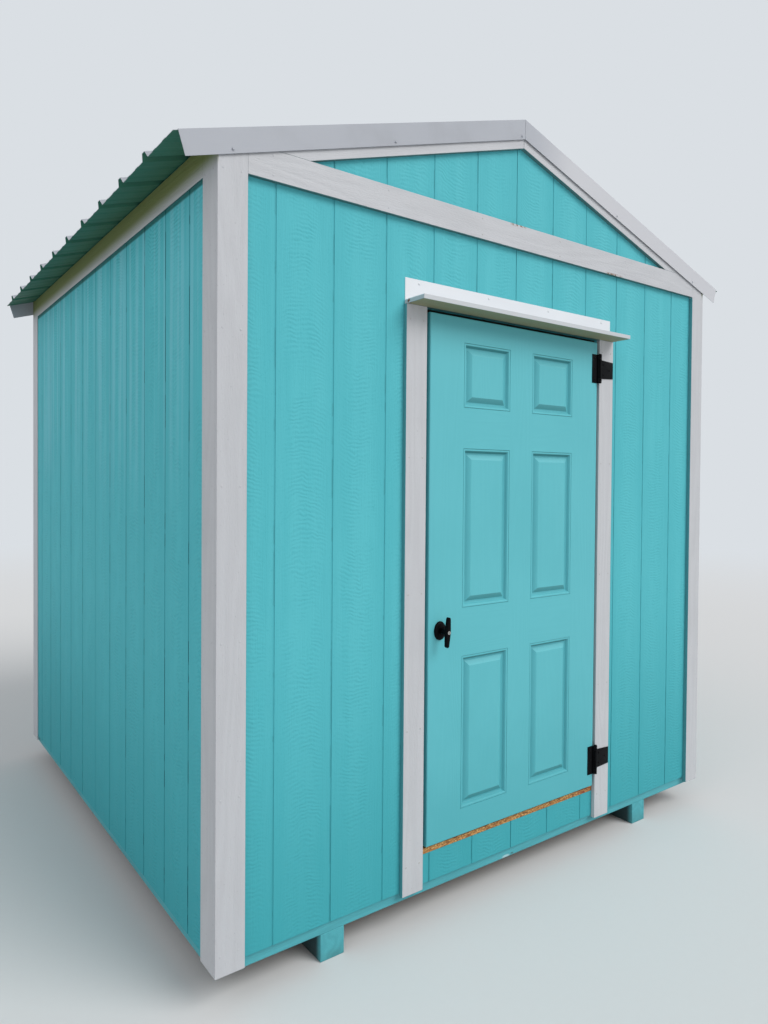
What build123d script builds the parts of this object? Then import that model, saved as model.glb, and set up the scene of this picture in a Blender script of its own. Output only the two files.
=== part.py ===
from build123d import *
import math
import os

# Garden shed with a gable front, a six-panel door and a ribbed sheet roof.
# Millimetres. X runs across the front, Y from front to back, Z up from the ground.

# Walls: outer faces of the siding
wall_width = 2438.4
wall_depth = 2413.0
siding_thickness = 11.0
siding_bottom = 127.0

# Floor
skid_size = 88.9
skid_centre = 812.8
joist_depth = 139.7
joist_thickness = 38.1
joist_count = 7
deck_thickness = 19.05

# Wall framing
stud_depth = 88.9
stud_thickness = 38.1
side_stud_count = 5
rear_stud_count = 5
cripple_count = 3

# Roof: the wall line is where the sheet's underside passes over the siding's outer face
wall_above_doorway = 378.55
roof_rise_share = 0.3125
eave_overhang = 127.0
rake_overhang = 22.5
sheet_thickness = 1.5
rib_pitch = 228.6
rib_height = 19.0
rib_base = 46.0
rib_top = 20.0
first_rib = 223.0
rib_edge_flat = 40.0
ridge_opening = 14.0
purlin_width = 88.9
purlin_thickness = 19.05
purlin_shares = (0.08, 0.36, 0.64, 0.91)
rafter_depth = 88.9
rafter_thickness = 38.1
rafter_count = 5
ridge_board_thickness = 19.05
ridge_board_depth = 139.7
cap_wing = 150.0
cap_thickness = 1.5

# Bent rake trim along the gables
rake_trim_depth = 70.0
rake_trim_leg = 55.0
rake_trim_thickness = 1.5
rake_trim_setback = 8.0

# Trim boards
trim_thickness = 16.0
trim_width = 88.9
corner_board_bottom = 105.7
band_below_wall_line = 10.1
rake_board_drop = 101.6
board_joint = 1.0

# Doorway
door_thickness = 44.45
door_face_proud = 16.0
door_side_gap = 15.5
door_floor_gap = 10.3
door_head_gap = 14.0
door_stop_gap = 5.5
door_stop_width = 34.0
door_stop_thickness = 25.4
header_height = 139.7
casing_bottom = 117.0

# Header flashing over the door
flashing_thickness = 2.0
flashing_projection = 101.6
flashing_lip = 15.0
flashing_rise = 74.5
flashing_end_inset = 4.0

# Raised panels of the door, from its side edges inwards and from its lower edge upwards
door_stile = 156.0
door_mullion = 120.6
panel_width = 232.5
bottom_rail = 93.7
bottom_panel = 546.4
lock_rail = 171.6
middle_panel = 564.8
frieze_rail = 143.6
top_panel = 228.5
top_rail = 86.5
panel_depth = 9.0
sticking_width = 19.0
panel_flat = 2.0
bevel_width = 20.0
field_below_face = 1.0

# Strap hinges
hinge_height = 117.0
hinge_sheet = 2.5
hinge_plate_width = 32.5
hinge_riser_offset = 9.0
knuckle_radius = 7.0
strap_length = 93.0
strap_root = 79.0
strap_end = 68.0
pin_radius = 3.5
pin_clearance = 0.1
pin_head_radius = 5.5
pin_head_height = 3.0
knuckle_gap = 1.0
pin_stand_off = 8.0
lower_hinge_inset = 109.0
upper_hinge_inset = 108.0

# Lock handle
handle_backset = 50.8
handle_height = 1001.0
rose_radius = 32.5
rose_thickness = 11.0
rose_edge = 6.0
spindle_radius = 5.0
spindle_clearance = 0.1
neck_radius = 10.0
grip_stand_off = 21.0
grip_length = 104.0
grip_thickness = 18.0
grip_middle_radius = 12.0
grip_end_radius = 7.5
grip_edge = 3.0
grip_tilt = 5.0
neck_gap = 0.5
core_radius = 6.0
core_proud = 2.0
lever_gap = 6.0
lever_hub_radius = 11.0
lever_hub_length = 14.0
lever_length = 62.0
lever_end_radius = 7.0
lever_thickness = 8.0

# Places worked out from the sizes
half_width = wall_width / 2
front_y = flashing_projection - (flashing_projection + wall_depth + rake_overhang) / 2
rear_y = front_y + wall_depth
frame_front_y = front_y + siding_thickness
frame_rear_y = rear_y - siding_thickness
frame_half_width = half_width - siding_thickness
inner_half_width = frame_half_width - stud_depth
inner_front_y = frame_front_y + stud_depth
inner_rear_y = frame_rear_y - stud_depth

joist_bottom = skid_size
deck_bottom = joist_bottom + joist_depth
deck_top = deck_bottom + deck_thickness

half_door = door_stile + panel_width + door_mullion / 2
half_doorway = half_door + door_side_gap
door_height = bottom_rail + bottom_panel + lock_rail + middle_panel + frieze_rail + top_panel + top_rail
door_face_y = front_y - door_face_proud
door_back_y = door_face_y + door_thickness
door_bottom = deck_top + door_floor_gap
door_top = door_bottom + door_height
doorway_top = door_top + door_head_gap
wall_line_height = doorway_top + wall_above_doorway
ledge_top = doorway_top + flashing_lip
ledge_bottom = ledge_top - flashing_thickness
band_top = wall_line_height - band_below_wall_line
band_bottom = band_top - trim_width

slope = math.atan(roof_rise_share)
peak_height = wall_line_height + half_width * roof_rise_share
eave_length = (half_width + eave_overhang) / math.cos(slope)
sheet_front_y = front_y - rake_overhang + rake_trim_thickness
sheet_rear_y = rear_y + rake_overhang - rake_trim_thickness
rib_span = sheet_rear_y - sheet_front_y - first_rib - rib_base / 2 - rib_edge_flat
rib_count = int(rib_span / rib_pitch) + 1

pin_x = (half_doorway + half_door) / 2
pin_y = front_y - trim_thickness - pin_stand_off
handle_x = handle_backset - half_door
spindle_bore_radius = spindle_radius + spindle_clearance
lower_hinge_height = door_bottom + lower_hinge_inset
upper_hinge_height = door_top - upper_hinge_inset


def roof_height(x, offset=0.0):
    """Height of the roof plane at a distance from the ridge, offset square to the slope."""
    return peak_height - abs(x) * roof_rise_share + offset / math.cos(slope)


def roof_point(along, offset):
    """Distance from the ridge line and height of a point down the slope, for the right-hand side."""
    across = along * math.cos(slope) + offset * math.sin(slope)
    return across, peak_height - along * math.sin(slope) + offset * math.cos(slope)


plate_top = roof_height(inner_half_width, -purlin_thickness - rafter_depth)
plate_bottom = plate_top - stud_thickness
sole_top = deck_top + stud_thickness


def block(x_range, y_range, z_range):
    """Box between two corners."""
    low = [min(span) for span in (x_range, y_range, z_range)]
    size = [max(span) - min(span) for span in (x_range, y_range, z_range)]
    return Pos(*low) * Box(*size, align=(Align.MIN, Align.MIN, Align.MIN))


def prism_along_y(outline, y_start, y_end):
    """Prism with its outline given across and up."""
    face = Face(Wire(Polyline(*[(x, y_start, z) for x, z in outline], close=True).edges()))
    return extrude(face, amount=y_end - y_start, dir=(0, 1, 0))


def rod_along_y(x, z, radius, y_start, y_end):
    """Round rod from front to back."""
    return extrude(Plane((x, y_start, z), z_dir=(0, 1, 0)) * Circle(radius), amount=y_end - y_start)


def rod_along_z(x, y, radius, z_start, z_end):
    """Round upright rod."""
    return extrude(Plane((x, y, z_start)) * Circle(radius), amount=z_end - z_start)


def both_sides(outline):
    """Outlines of a right-hand piece and of its mirror image."""
    return [outline, [(-x, z) for x, z in outline]]


def spread(first, last, count):
    """Evenly spaced places, both ends included."""
    return [first + (last - first) * step / (count - 1) for step in range(count)]


def save(node, *solids):
    """Write one sub-part."""
    shape = solids[0] if len(solids) == 1 else Compound(children=list(solids))
    export_step(shape, f"parts/{node}.step")


def save_floor():
    full_depth = (frame_front_y, frame_rear_y)
    skid_inner = skid_centre - skid_size / 2
    skid_outer = skid_centre + skid_size / 2
    save("skids", *[
        block((side * skid_inner, side * skid_outer), full_depth, (0, skid_size)) for side in (-1, 1)
    ])

    joist_end = frame_half_width - joist_thickness
    joists = [
        block((-joist_end, joist_end), (y, y + joist_thickness), (joist_bottom, deck_bottom))
        for y in spread(frame_front_y, frame_rear_y - joist_thickness, joist_count)
    ]
    save("floor_joists", *joists)
    bands = [
        block((side * joist_end, side * frame_half_width), full_depth, (joist_bottom, deck_bottom))
        for side in (-1, 1)
    ]
    save("floor_end_bands", *bands)

    deck = block((-frame_half_width, frame_half_width), full_depth, (deck_bottom, deck_top))
    sill = block((-half_doorway, half_doorway), (front_y, frame_front_y), (deck_bottom, deck_top))
    save("floor_deck", deck + sill)


def save_siding():
    gable = [(half_width, doorway_top), (half_width, wall_line_height), (0, peak_height),
             (-half_width, wall_line_height), (-half_width, doorway_top)]
    save("front_siding_over_door", prism_along_y(gable, front_y, frame_front_y))
    for side, name in ((-1, "front_siding_left"), (1, "front_siding_right")):
        save(name, block((side * half_doorway, side * half_width), (front_y, frame_front_y),
                         (siding_bottom, doorway_top)))
    save("front_siding_below_door", block((-half_doorway, half_doorway), (front_y, frame_front_y),
                                          (siding_bottom, deck_bottom)))

    rear = [(half_width, siding_bottom), (half_width, wall_line_height), (0, peak_height),
            (-half_width, wall_line_height), (-half_width, siding_bottom)]
    save("rear_siding", prism_along_y(rear, frame_rear_y, rear_y))
    for side, name in ((-1, "left_siding"), (1, "right_siding")):
        save(name, block((side * frame_half_width, side * half_width), (frame_front_y, frame_rear_y),
                         (siding_bottom, wall_line_height)))


def save_wall_framing():
    side_span = {side: (side * inner_half_width, side * frame_half_width) for side in (-1, 1)}
    front_span = (frame_front_y, inner_front_y)
    rear_span = (inner_rear_y, frame_rear_y)
    stud_span = (sole_top, plate_bottom)
    door_stud = half_doorway + stud_thickness

    places = spread(frame_front_y, frame_rear_y - stud_thickness, side_stud_count)
    save("side_wall_studs", *[
        block(side_span[side], (y, y + stud_thickness), stud_span) for side in (-1, 1) for y in places
    ])
    places = spread(-inner_half_width, inner_half_width - stud_thickness, rear_stud_count)
    save("rear_wall_studs", *[block((x, x + stud_thickness), rear_span, stud_span) for x in places])

    front_studs = []
    for side in (-1, 1):
        for near in (door_stud, inner_half_width - stud_thickness):
            front_studs.append(block((side * near, side * (near + stud_thickness)), front_span, stud_span))
    header_span = (doorway_top, doorway_top + header_height)
    cripple_span = (header_span[1], plate_bottom)
    for x in spread(-half_doorway, half_doorway - stud_thickness, cripple_count):
        front_studs.append(block((x, x + stud_thickness), front_span, cripple_span))
    save("front_wall_studs", *front_studs)

    save("door_jambs", *[
        block((side * half_doorway, side * door_stud), front_span, (deck_top, doorway_top))
        for side in (-1, 1)
    ])
    save("door_header", block((-door_stud, door_stud), front_span, header_span))
    stop_span = (door_back_y + door_stop_gap, door_back_y + door_stop_gap + door_stop_width)
    save("door_stops", *[
        block((side * half_doorway, side * (half_doorway - door_stop_thickness)), stop_span,
              (deck_top, doorway_top))
        for side in (-1, 1)
    ])

    sole_span = (deck_top, sole_top)
    top_span = (plate_bottom, plate_top)
    full_depth = (frame_front_y, frame_rear_y)
    between_walls = (-inner_half_width, inner_half_width)
    save("side_sole_plates", *[block(side_span[side], full_depth, sole_span) for side in (-1, 1)])
    save("end_sole_plates", block(between_walls, rear_span, sole_span), *[
        block((side * door_stud, side * inner_half_width), front_span, sole_span) for side in (-1, 1)
    ])
    save("side_top_plates", *[block(side_span[side], full_depth, top_span) for side in (-1, 1)])
    save("end_top_plates", *[block(between_walls, span, top_span) for span in (front_span, rear_span)])


def save_roof_framing():
    rafter_top = -purlin_thickness
    rafter_low = rafter_top - rafter_depth
    half_ridge = ridge_board_thickness / 2
    outline = [
        (half_ridge, roof_height(half_ridge, rafter_top)),
        (frame_half_width, roof_height(frame_half_width, rafter_top)),
        (frame_half_width, plate_top),
        (inner_half_width, plate_top),
        (half_ridge, roof_height(half_ridge, rafter_low)),
    ]
    places = spread(frame_front_y, frame_rear_y - rafter_thickness, rafter_count)
    save("rafters", *[
        prism_along_y(side_outline, y, y + rafter_thickness)
        for side_outline in both_sides(outline) for y in places
    ])

    ridge_top = roof_height(half_ridge, rafter_top)
    save("ridge_board", block((-half_ridge, half_ridge), (frame_front_y, frame_rear_y),
                              (ridge_top - ridge_board_depth, ridge_top)))

    purlin_run = frame_half_width / math.cos(slope) - purlin_width
    corners = ((0, 0), (purlin_width, 0), (purlin_width, -purlin_thickness), (0, -purlin_thickness))
    starts = [purlin_run * share for share in purlin_shares]
    outlines = [[roof_point(start + along, offset) for along, offset in corners] for start in starts]
    save("purlins", *[
        prism_along_y(side_outline, frame_front_y, frame_rear_y)
        for outline in outlines for side_outline in both_sides(outline)
    ])


def rib_profile():
    """Upper line of the ribbed sheet from front to back, as places and heights over the pans."""
    line = [(sheet_front_y, 0.0)]
    for rib in range(rib_count):
        centre = sheet_front_y + first_rib + rib * rib_pitch
        line += [(centre - rib_base / 2, 0.0), (centre - rib_top / 2, rib_height),
                 (centre + rib_top / 2, rib_height), (centre + rib_base / 2, 0.0)]
    return line + [(sheet_rear_y, 0.0)]


def save_roof():
    upper = [(y, height + sheet_thickness) for y, height in rib_profile()]
    section = upper + rib_profile()[::-1]
    run = eave_length - ridge_opening
    for side, name in ((-1, "left_roof_sheet"), (1, "right_roof_sheet")):
        down = Vector(side * math.cos(slope), 0, -math.sin(slope))
        normal = Vector(side * math.sin(slope), 0, math.cos(slope))
        start = Vector(0, 0, peak_height) + down * ridge_opening
        corners = [start + normal * height + Vector(0, y, 0) for y, height in section]
        face = Face(Wire(Polyline(*corners, close=True).edges()))
        save(name, extrude(face, amount=run, dir=down))

    cap_low = sheet_thickness + rib_height
    wing = [roof_point(cap_wing, cap_low), roof_point(cap_wing, cap_low + cap_thickness)]
    top = (0, roof_height(0, cap_low + cap_thickness))
    bottom = (0, roof_height(0, cap_low))
    mirrored = [(-x, z) for x, z in wing]
    cap = [bottom, wing[0], wing[1], top, mirrored[1], mirrored[0]]
    save("ridge_cap", prism_along_y(cap, sheet_front_y + rake_trim_leg + rake_trim_setback,
                                    sheet_rear_y - rake_trim_leg - rake_trim_setback))

    save_rake_trim("front_rake_trim", front_y - rake_overhang, 1)
    save_rake_trim("rear_rake_trim", rear_y + rake_overhang, -1)


def save_rake_trim(node, face_y, inward):
    """Bent angle along a gable: a face that hangs down and a leg that lies on the sheet."""
    leg_low = sheet_thickness
    leg_high = sheet_thickness + rake_trim_thickness
    face_low = leg_high - rake_trim_depth
    half_joint = board_joint / 2
    end = eave_length - rake_trim_setback

    def strip(low, high):
        return [(half_joint, roof_height(half_joint, high)), roof_point(end, high),
                roof_point(end, low), (half_joint, roof_height(half_joint, low))]

    pieces = []
    for face, leg in zip(both_sides(strip(face_low, leg_high)), both_sides(strip(leg_low, leg_high))):
        y_face = sorted((face_y, face_y + inward * rake_trim_thickness))
        y_leg = sorted((face_y, face_y + inward * rake_trim_leg))
        pieces.append(prism_along_y(face, *y_face) + prism_along_y(leg, *y_leg))
    save(node, *pieces)


def save_trim():
    corner_inner = half_width - trim_width
    corner = [(corner_inner, corner_board_bottom), (half_width, corner_board_bottom),
              (half_width, roof_height(half_width)), (corner_inner, roof_height(corner_inner))]
    half_joint = board_joint / 2
    meet = (peak_height - rake_board_drop - band_top) / roof_rise_share
    rake = [(corner_inner, band_top), (corner_inner, roof_height(corner_inner)),
            (half_joint, roof_height(half_joint)), (half_joint, roof_height(half_joint) - rake_board_drop),
            (meet, band_top)]
    gables = ((front_y - trim_thickness, front_y), (rear_y, rear_y + trim_thickness))
    for name, outline in (("end_corner_boards", corner), ("rake_boards", rake)):
        save(name, *[prism_along_y(board, *y_span) for y_span in gables for board in both_sides(outline)])
    save("gable_bands", *[
        block((-corner_inner, corner_inner), y_span, (band_bottom, band_top)) for y_span in gables
    ])

    outer = half_width + trim_thickness
    eave_trim_top = roof_height(outer)
    board_ends = ((front_y - trim_thickness, front_y - trim_thickness + trim_width),
                  (rear_y + trim_thickness - trim_width, rear_y + trim_thickness))
    side_spans = [(side * half_width, side * outer) for side in (-1, 1)]
    save("side_corner_boards", *[
        block(x_span, y_span, (corner_board_bottom, eave_trim_top))
        for x_span in side_spans for y_span in board_ends
    ])
    frieze_span = (board_ends[0][1], board_ends[1][0])
    save("frieze_boards", *[
        block(x_span, frieze_span, (band_bottom, eave_trim_top)) for x_span in side_spans
    ])

    casing_outer = half_doorway + trim_width
    casings = [
        block((side * half_doorway, side * casing_outer), (front_y - trim_thickness, front_y),
              (casing_bottom, doorway_top))
        for side in (-1, 1)
    ]
    lip_y = front_y - flashing_projection
    half_flashing = casing_outer - flashing_end_inset
    x_span = (-half_flashing, half_flashing)
    ledge_board = block(x_span, (lip_y + flashing_thickness, front_y), (doorway_top, ledge_bottom))
    save("door_casings", *casings, ledge_board)

    flange_top = ledge_top + flashing_rise
    flange = block(x_span, (front_y - flashing_thickness, front_y), (ledge_bottom, flange_top))
    ledge = block(x_span, (lip_y, front_y), (ledge_bottom, ledge_top))
    lip = block(x_span, (lip_y, lip_y + flashing_thickness), (doorway_top, ledge_top))
    save("header_flashing", flange + ledge + lip)


def panel_places():
    """Centre and height of each raised panel, as distances from the door's middle and its lower edge."""
    bottom = bottom_rail + bottom_panel / 2
    middle = bottom_rail + bottom_panel + lock_rail + middle_panel / 2
    top = bottom_rail + bottom_panel + lock_rail + middle_panel + frieze_rail + top_panel / 2
    across = half_door - door_stile - panel_width / 2
    rows = ((bottom, bottom_panel), (middle, middle_panel), (top, top_panel))
    return [(side * across, height, size) for side in (-1, 1) for height, size in rows]


def rectangle_frustum(plane, outer, outer_depth, inner, inner_depth):
    """Solid between two rectangles at two depths below a face."""
    ends = ((outer, outer_depth), (inner, inner_depth))
    return loft([plane.offset(-depth) * Rectangle(*size) for size, depth in ends])


def save_door():
    leaf = block((-half_door, half_door), (door_face_y, door_back_y), (door_bottom, door_top))
    for across, height, size in panel_places():
        for y, outward in ((door_face_y, -1), (door_back_y, 1)):
            plane = Plane((across, y, door_bottom + height), x_dir=(1, 0, 0), z_dir=(0, outward, 0))

            def inset(margin):
                return panel_width - 2 * margin, size - 2 * margin

            foot = inset(sticking_width + panel_flat)
            field = inset(sticking_width + panel_flat + bevel_width)
            leaf -= rectangle_frustum(plane, inset(0), 0, inset(sticking_width), panel_depth)
            leaf += rectangle_frustum(plane, foot, panel_depth, field, field_below_face)
    leaf -= rod_along_y(handle_x, handle_height, spindle_bore_radius, door_face_y, door_back_y)
    save("door_leaf", leaf)


def hinge_pieces(height):
    """Door plate, casing strap and pin of one hinge, about its middle height."""
    low = height - hinge_height / 2
    high = height + hinge_height / 2
    strap_low = height - strap_root / 2
    strap_high = height + strap_root / 2
    bore = rod_along_z(pin_x, pin_y, pin_radius + pin_clearance, low, high)

    riser_x = pin_x - hinge_riser_offset
    plate_y = (door_face_y - hinge_sheet, door_face_y)
    plate = block((riser_x - hinge_plate_width, riser_x), plate_y, (low, high))
    riser_y = (pin_y - hinge_sheet / 2, door_face_y)
    plate += block((riser_x - hinge_sheet, riser_x), riser_y, (low, high))
    for start, end in ((low, strap_low - knuckle_gap), (strap_high + knuckle_gap, high)):
        plate += block((riser_x, pin_x), (pin_y - hinge_sheet / 2, pin_y + hinge_sheet / 2), (start, end))
        plate += rod_along_z(pin_x, pin_y, knuckle_radius, start, end)
    plate -= bore

    strap_y = front_y - trim_thickness
    half_end = strap_end / 2
    half_root = strap_root / 2
    outline = [(pin_x, height - half_root), (pin_x + strap_length, height - half_end),
               (pin_x + strap_length, height + half_end), (pin_x, height + half_root)]
    strap = prism_along_y(outline, strap_y - hinge_sheet, strap_y)
    strap += rod_along_z(pin_x, pin_y, knuckle_radius, strap_low, strap_high)
    strap -= bore

    pin = rod_along_z(pin_x, pin_y, pin_radius, low, high)
    pin += rod_along_z(pin_x, pin_y, pin_head_radius, high, high + pin_head_height)
    return plate, strap, pin


def save_hinges():
    heights = (lower_hinge_height, upper_hinge_height)
    plates, straps, pins = zip(*[hinge_pieces(height) for height in heights])
    save("hinge_plates", *plates)
    save("hinge_straps", *straps)
    save("hinge_pins", *pins)


def save_handle():
    rose_face_y = door_face_y - rose_thickness
    rose = rod_along_y(handle_x, handle_height, rose_radius, rose_face_y, door_face_y)
    rose = chamfer(rose.edges().sort_by(Axis.Y)[0], rose_edge)
    rose -= rod_along_y(handle_x, handle_height, spindle_bore_radius, rose_face_y, door_face_y)
    save("handle_rose", rose)

    grip_back_y = rose_face_y - grip_stand_off
    grip_face_y = grip_back_y - grip_thickness
    reach = grip_length / 2 - grip_end_radius
    plane = Plane((handle_x, grip_back_y, handle_height), x_dir=(1, 0, 0), z_dir=(0, -1, 0))
    ends = [Pos(0, end) * Circle(grip_end_radius) for end in (-reach, reach)]
    circles = Circle(grip_middle_radius) + ends
    bar = plane * Rot(0, 0, -grip_tilt) * make_hull(circles.edges())
    grip = extrude(bar, amount=grip_thickness)
    grip = fillet(grip.edges().group_by(Axis.Y)[0], grip_edge)
    lever_back_y = door_back_y + lever_gap + lever_hub_length
    grip += rod_along_y(handle_x, handle_height, neck_radius, grip_back_y, rose_face_y - neck_gap)
    grip += rod_along_y(handle_x, handle_height, spindle_radius, rose_face_y - neck_gap, lever_back_y)
    save("handle_grip", grip)

    core_face_y = grip_face_y - core_proud
    save("handle_key_core", rod_along_y(handle_x, handle_height, core_radius, core_face_y, grip_face_y))

    hub_y = door_back_y + lever_gap
    lever_plane = Plane((handle_x, hub_y, handle_height), x_dir=(1, 0, 0), z_dir=(0, -1, 0))
    arm = Circle(lever_hub_radius) + Pos(0, -lever_length) * Circle(lever_end_radius)
    lever = extrude(lever_plane.offset(-lever_hub_length) * make_hull(arm.edges()), amount=lever_thickness)
    lever += rod_along_y(handle_x, handle_height, lever_hub_radius, hub_y, hub_y + lever_hub_length)
    lever -= rod_along_y(handle_x, handle_height, spindle_bore_radius, hub_y, lever_back_y)
    save("handle_inside_lever", lever)


os.makedirs("parts", exist_ok=True)
save_floor()
save_siding()
save_wall_framing()
save_roof_framing()
save_roof()
save_trim()
save_door()
save_hinges()
save_handle()
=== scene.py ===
import math
import random

import bmesh
import bpy
from mathutils import Matrix, Vector


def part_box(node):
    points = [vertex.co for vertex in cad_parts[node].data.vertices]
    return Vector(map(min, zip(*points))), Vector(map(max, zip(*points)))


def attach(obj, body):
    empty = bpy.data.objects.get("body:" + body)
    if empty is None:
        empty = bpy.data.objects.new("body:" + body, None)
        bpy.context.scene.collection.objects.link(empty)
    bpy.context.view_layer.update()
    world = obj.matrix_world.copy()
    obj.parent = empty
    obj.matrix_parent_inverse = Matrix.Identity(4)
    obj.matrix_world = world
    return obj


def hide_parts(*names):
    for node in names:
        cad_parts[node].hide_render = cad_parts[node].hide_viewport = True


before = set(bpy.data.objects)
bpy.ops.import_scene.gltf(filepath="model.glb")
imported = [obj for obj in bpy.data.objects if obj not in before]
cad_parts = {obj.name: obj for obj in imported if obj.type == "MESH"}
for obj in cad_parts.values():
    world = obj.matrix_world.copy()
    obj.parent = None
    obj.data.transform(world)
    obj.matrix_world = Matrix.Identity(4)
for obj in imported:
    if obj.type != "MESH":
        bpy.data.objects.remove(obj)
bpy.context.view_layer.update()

# Garden shed: painted grooved siding, pale trim boards, ribbed steel roof and a six-panel door.
# Metres, in the frame's own axes: X across the front, Y from front to back, Z up.

SCENE = bpy.context.scene
UP = Vector((0, 0, 1))
FRONTWARD = Vector((0, -1, 0))
REARWARD = Vector((0, 1, 0))
LEFTWARD = Vector((-1, 0, 0))
RIGHTWARD = Vector((1, 0, 0))

# Places read from the frame


def low(node):
    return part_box(node)[0]


def high(node):
    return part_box(node)[1]


FRONT_Y = low("front_siding_left").y
REAR_Y = high("rear_siding").y
HALF_WIDTH = high("right_siding").x
WALL_TOP = high("left_siding").z
WALL_BOTTOM = low("left_siding").z
PEAK = high("rear_siding").z
ROOF_FALL = (PEAK - WALL_TOP) / HALF_WIDTH
SLOPE = math.atan(ROOF_FALL)
TRIM_FACE_Y = low("end_corner_boards").y
TRIM_REAR_Y = high("end_corner_boards").y
TRIM_THICKNESS = FRONT_Y - TRIM_FACE_Y
FRAME_FRONT_Y = low("skids").y
FRAME_REAR_Y = high("skids").y
FRAME_HALF = high("floor_end_bands").x
DOOR_LOW, DOOR_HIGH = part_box("door_leaf")
PIN = sum(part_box("hinge_pins"), Vector()) / 2
ROSE_LOW, ROSE_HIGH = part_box("handle_rose")
CORE_LOW, CORE_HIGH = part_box("handle_key_core")

# Siding
GROOVE_PITCH = 0.2032
GROOVE_WIDTH = 0.0070
GROOVE_FLOOR = 0.0046
GROOVE_DEPTH = 0.0021
FRONT_JOINT_X = -0.018
SIDE_GROOVE_Y = FRONT_Y + 0.197
SHEET_GAP = 0.0030
SIDING_THICKNESS = REAR_Y - FRAME_REAR_Y
RIPPLE_SPACING = 0.0135
RIPPLE_BEND = 0.032
RIPPLE_DRIFT = 0.062
RIPPLE_WANDER = 0.018

# Roof sheets
RIB_PITCH = 0.2286
RIB_BASE = 0.046
RIB_TOP = 0.020
RIB_HEIGHT = 0.019
FIRST_RIB = 0.223
RIB_COUNT = 10
SMALL_RIB_BASE = 0.034
SMALL_RIB_TOP = 0.018
SMALL_RIB_HEIGHT = 0.0012
SMALL_RIBS = 2
ROOF_SHEET = 0.0012
RIDGE_OPENING = 0.014
PURLIN_ROWS = (0.460, 0.785, 1.100)
CAP_ROW = 0.125

# Door
STILE = 0.156
MULLION = 0.1206
BOTTOM_RAIL = 0.0937
BOTTOM_PANEL = 0.5464
LOCK_RAIL = 0.1716
MIDDLE_PANEL = 0.5648
FRIEZE_RAIL = 0.1436
TOP_PANEL = 0.2285
DOOR_EASE = 0.0020
QUIRK_WIDTH = 0.0022
QUIRK_DEPTH = 0.0020
QUIRK_LIP = 0.0003
BEAD_WIDTH = 0.0045
BEAD_DROP = 0.0004
# Share of painted shade, with some dirt, on the moulding slopes
SLOPE_SHADE_AND_DIRT = 0.4
SLOPE_RUN = 0.0095
PANEL_DEPTH = 0.0110
PANEL_FLAT = 0.0055
BEVEL_RUN = 0.0180
BEVEL_CURVE = 1.05
FIELD_DEPTH = 0.0010
CURVE_STEPS = 8

# Trim boards, with how far the side boards stand proud of the left and right walls
LEFT_TRIM_PROUD = 0.004
RIGHT_TRIM_PROUD = TRIM_THICKNESS
TRIM_WIDTH = 0.0889
LEFT_INNER_EDGE = TRIM_WIDTH - HALF_WIDTH
RIGHT_INNER_EDGE = HALF_WIDTH + RIGHT_TRIM_PROUD - TRIM_WIDTH

# Hinges and handle
HINGE_HEIGHT = 0.117
STRAP_ROOT = 0.079
HINGE_SHEET = 0.0025
GRIP_THICKNESS = 0.018
GRIP_SLIMMER = 0.005
GRIP_WIDTH_SHARE = 0.80
ROSE_SQUEEZE = 0.78
ROSE_RIM = 0.30
ROSE_DOME = 0.48
ROSE_STEPS = 6

# Screws and nails: a head's radius, height, sides and crown share, then its washer's radius and height
HINGE_SCREW = (0.0046, 0.0014, 14, 0.6)
ROOF_SEAL = (0.0072, 0.0006, 14, 0.9)
ROOF_SCREW = (0.0040, 0.0048, 6, 0.92, 0.0066, 0.0016)
RAKE_SCREW = (0.0036, 0.0028, 6, 0.85, 0.0050, 0.001)
FLASHING_SCREW = (0.0042, 0.0020, 12, 0.6)
TRIM_NAIL = (0.0036, 0.0007, 10, 0.7)

# Their places: across and up on a hinge, along the front on a rake, and in from a board's edge
STRAP_SCREWS = ((0.030, 0.021), (0.030, -0.021), (0.070, 0.0))
PLATE_SCREWS = ((-0.026, 0.042), (-0.026, 0.0), (-0.026, -0.042))
SCREW_BESIDE_RIB = 0.012
CAP_OVER_RIBS = 0.003
RAKE_SCREW_PLACES = (-1.18, -0.609, -0.0186, 0.560, 1.133)
RAKE_SCREW_DROP = 0.058
FLASHING_SHEET = 0.002
FLANGE_SCREW_DROP = 0.014
FLANGE_SCREW_INSET = 0.06
NAIL_GAP = 0.42
NAIL_INSET = 0.016
CORNER_NAIL_RISE = 0.06
CASING_NAIL_RISE = 0.11
CASING_NAIL_DROP = 0.05
BAND_NAILS = 6
BAND_FIRST_NAIL = -1.05

# Eased edges of the pieces
TIMBER_EASE = 0.0025
TRIM_EASE = 0.0010
BASE_EASE = 0.0022
BENT_EASE = 0.0005
DECK_EASE = 0.0008
HARDWARE_EASE = 0.0007
GRIP_EASE = 0.0008
LEVER_EASE = 0.0012

# Making of meshes
MERGE = 0.00001
FLAT_ANGLE = math.radians(0.6)
EASE_ANGLE = math.radians(28)
SMOOTH_ANGLE = math.radians(26)
SEED = 7


def roof_height(x):
    """Height of the roof plane over a place across the front."""
    return PEAK - abs(x) * ROOF_FALL


def srgb(red, green, blue):
    """Colour written as display values from 0 to 255."""
    def linear(value):
        share = value / 255
        return share / 12.92 if share <= 0.04045 else ((share + 0.055) / 1.055) ** 2.4
    return linear(red), linear(green), linear(blue), 1.0


# Node trees


def open_socket(sockets, name):
    """First socket in use, or the first one in use with a name."""
    return next(s for s in sockets if s.enabled and (name is None or s.name == name))


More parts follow.
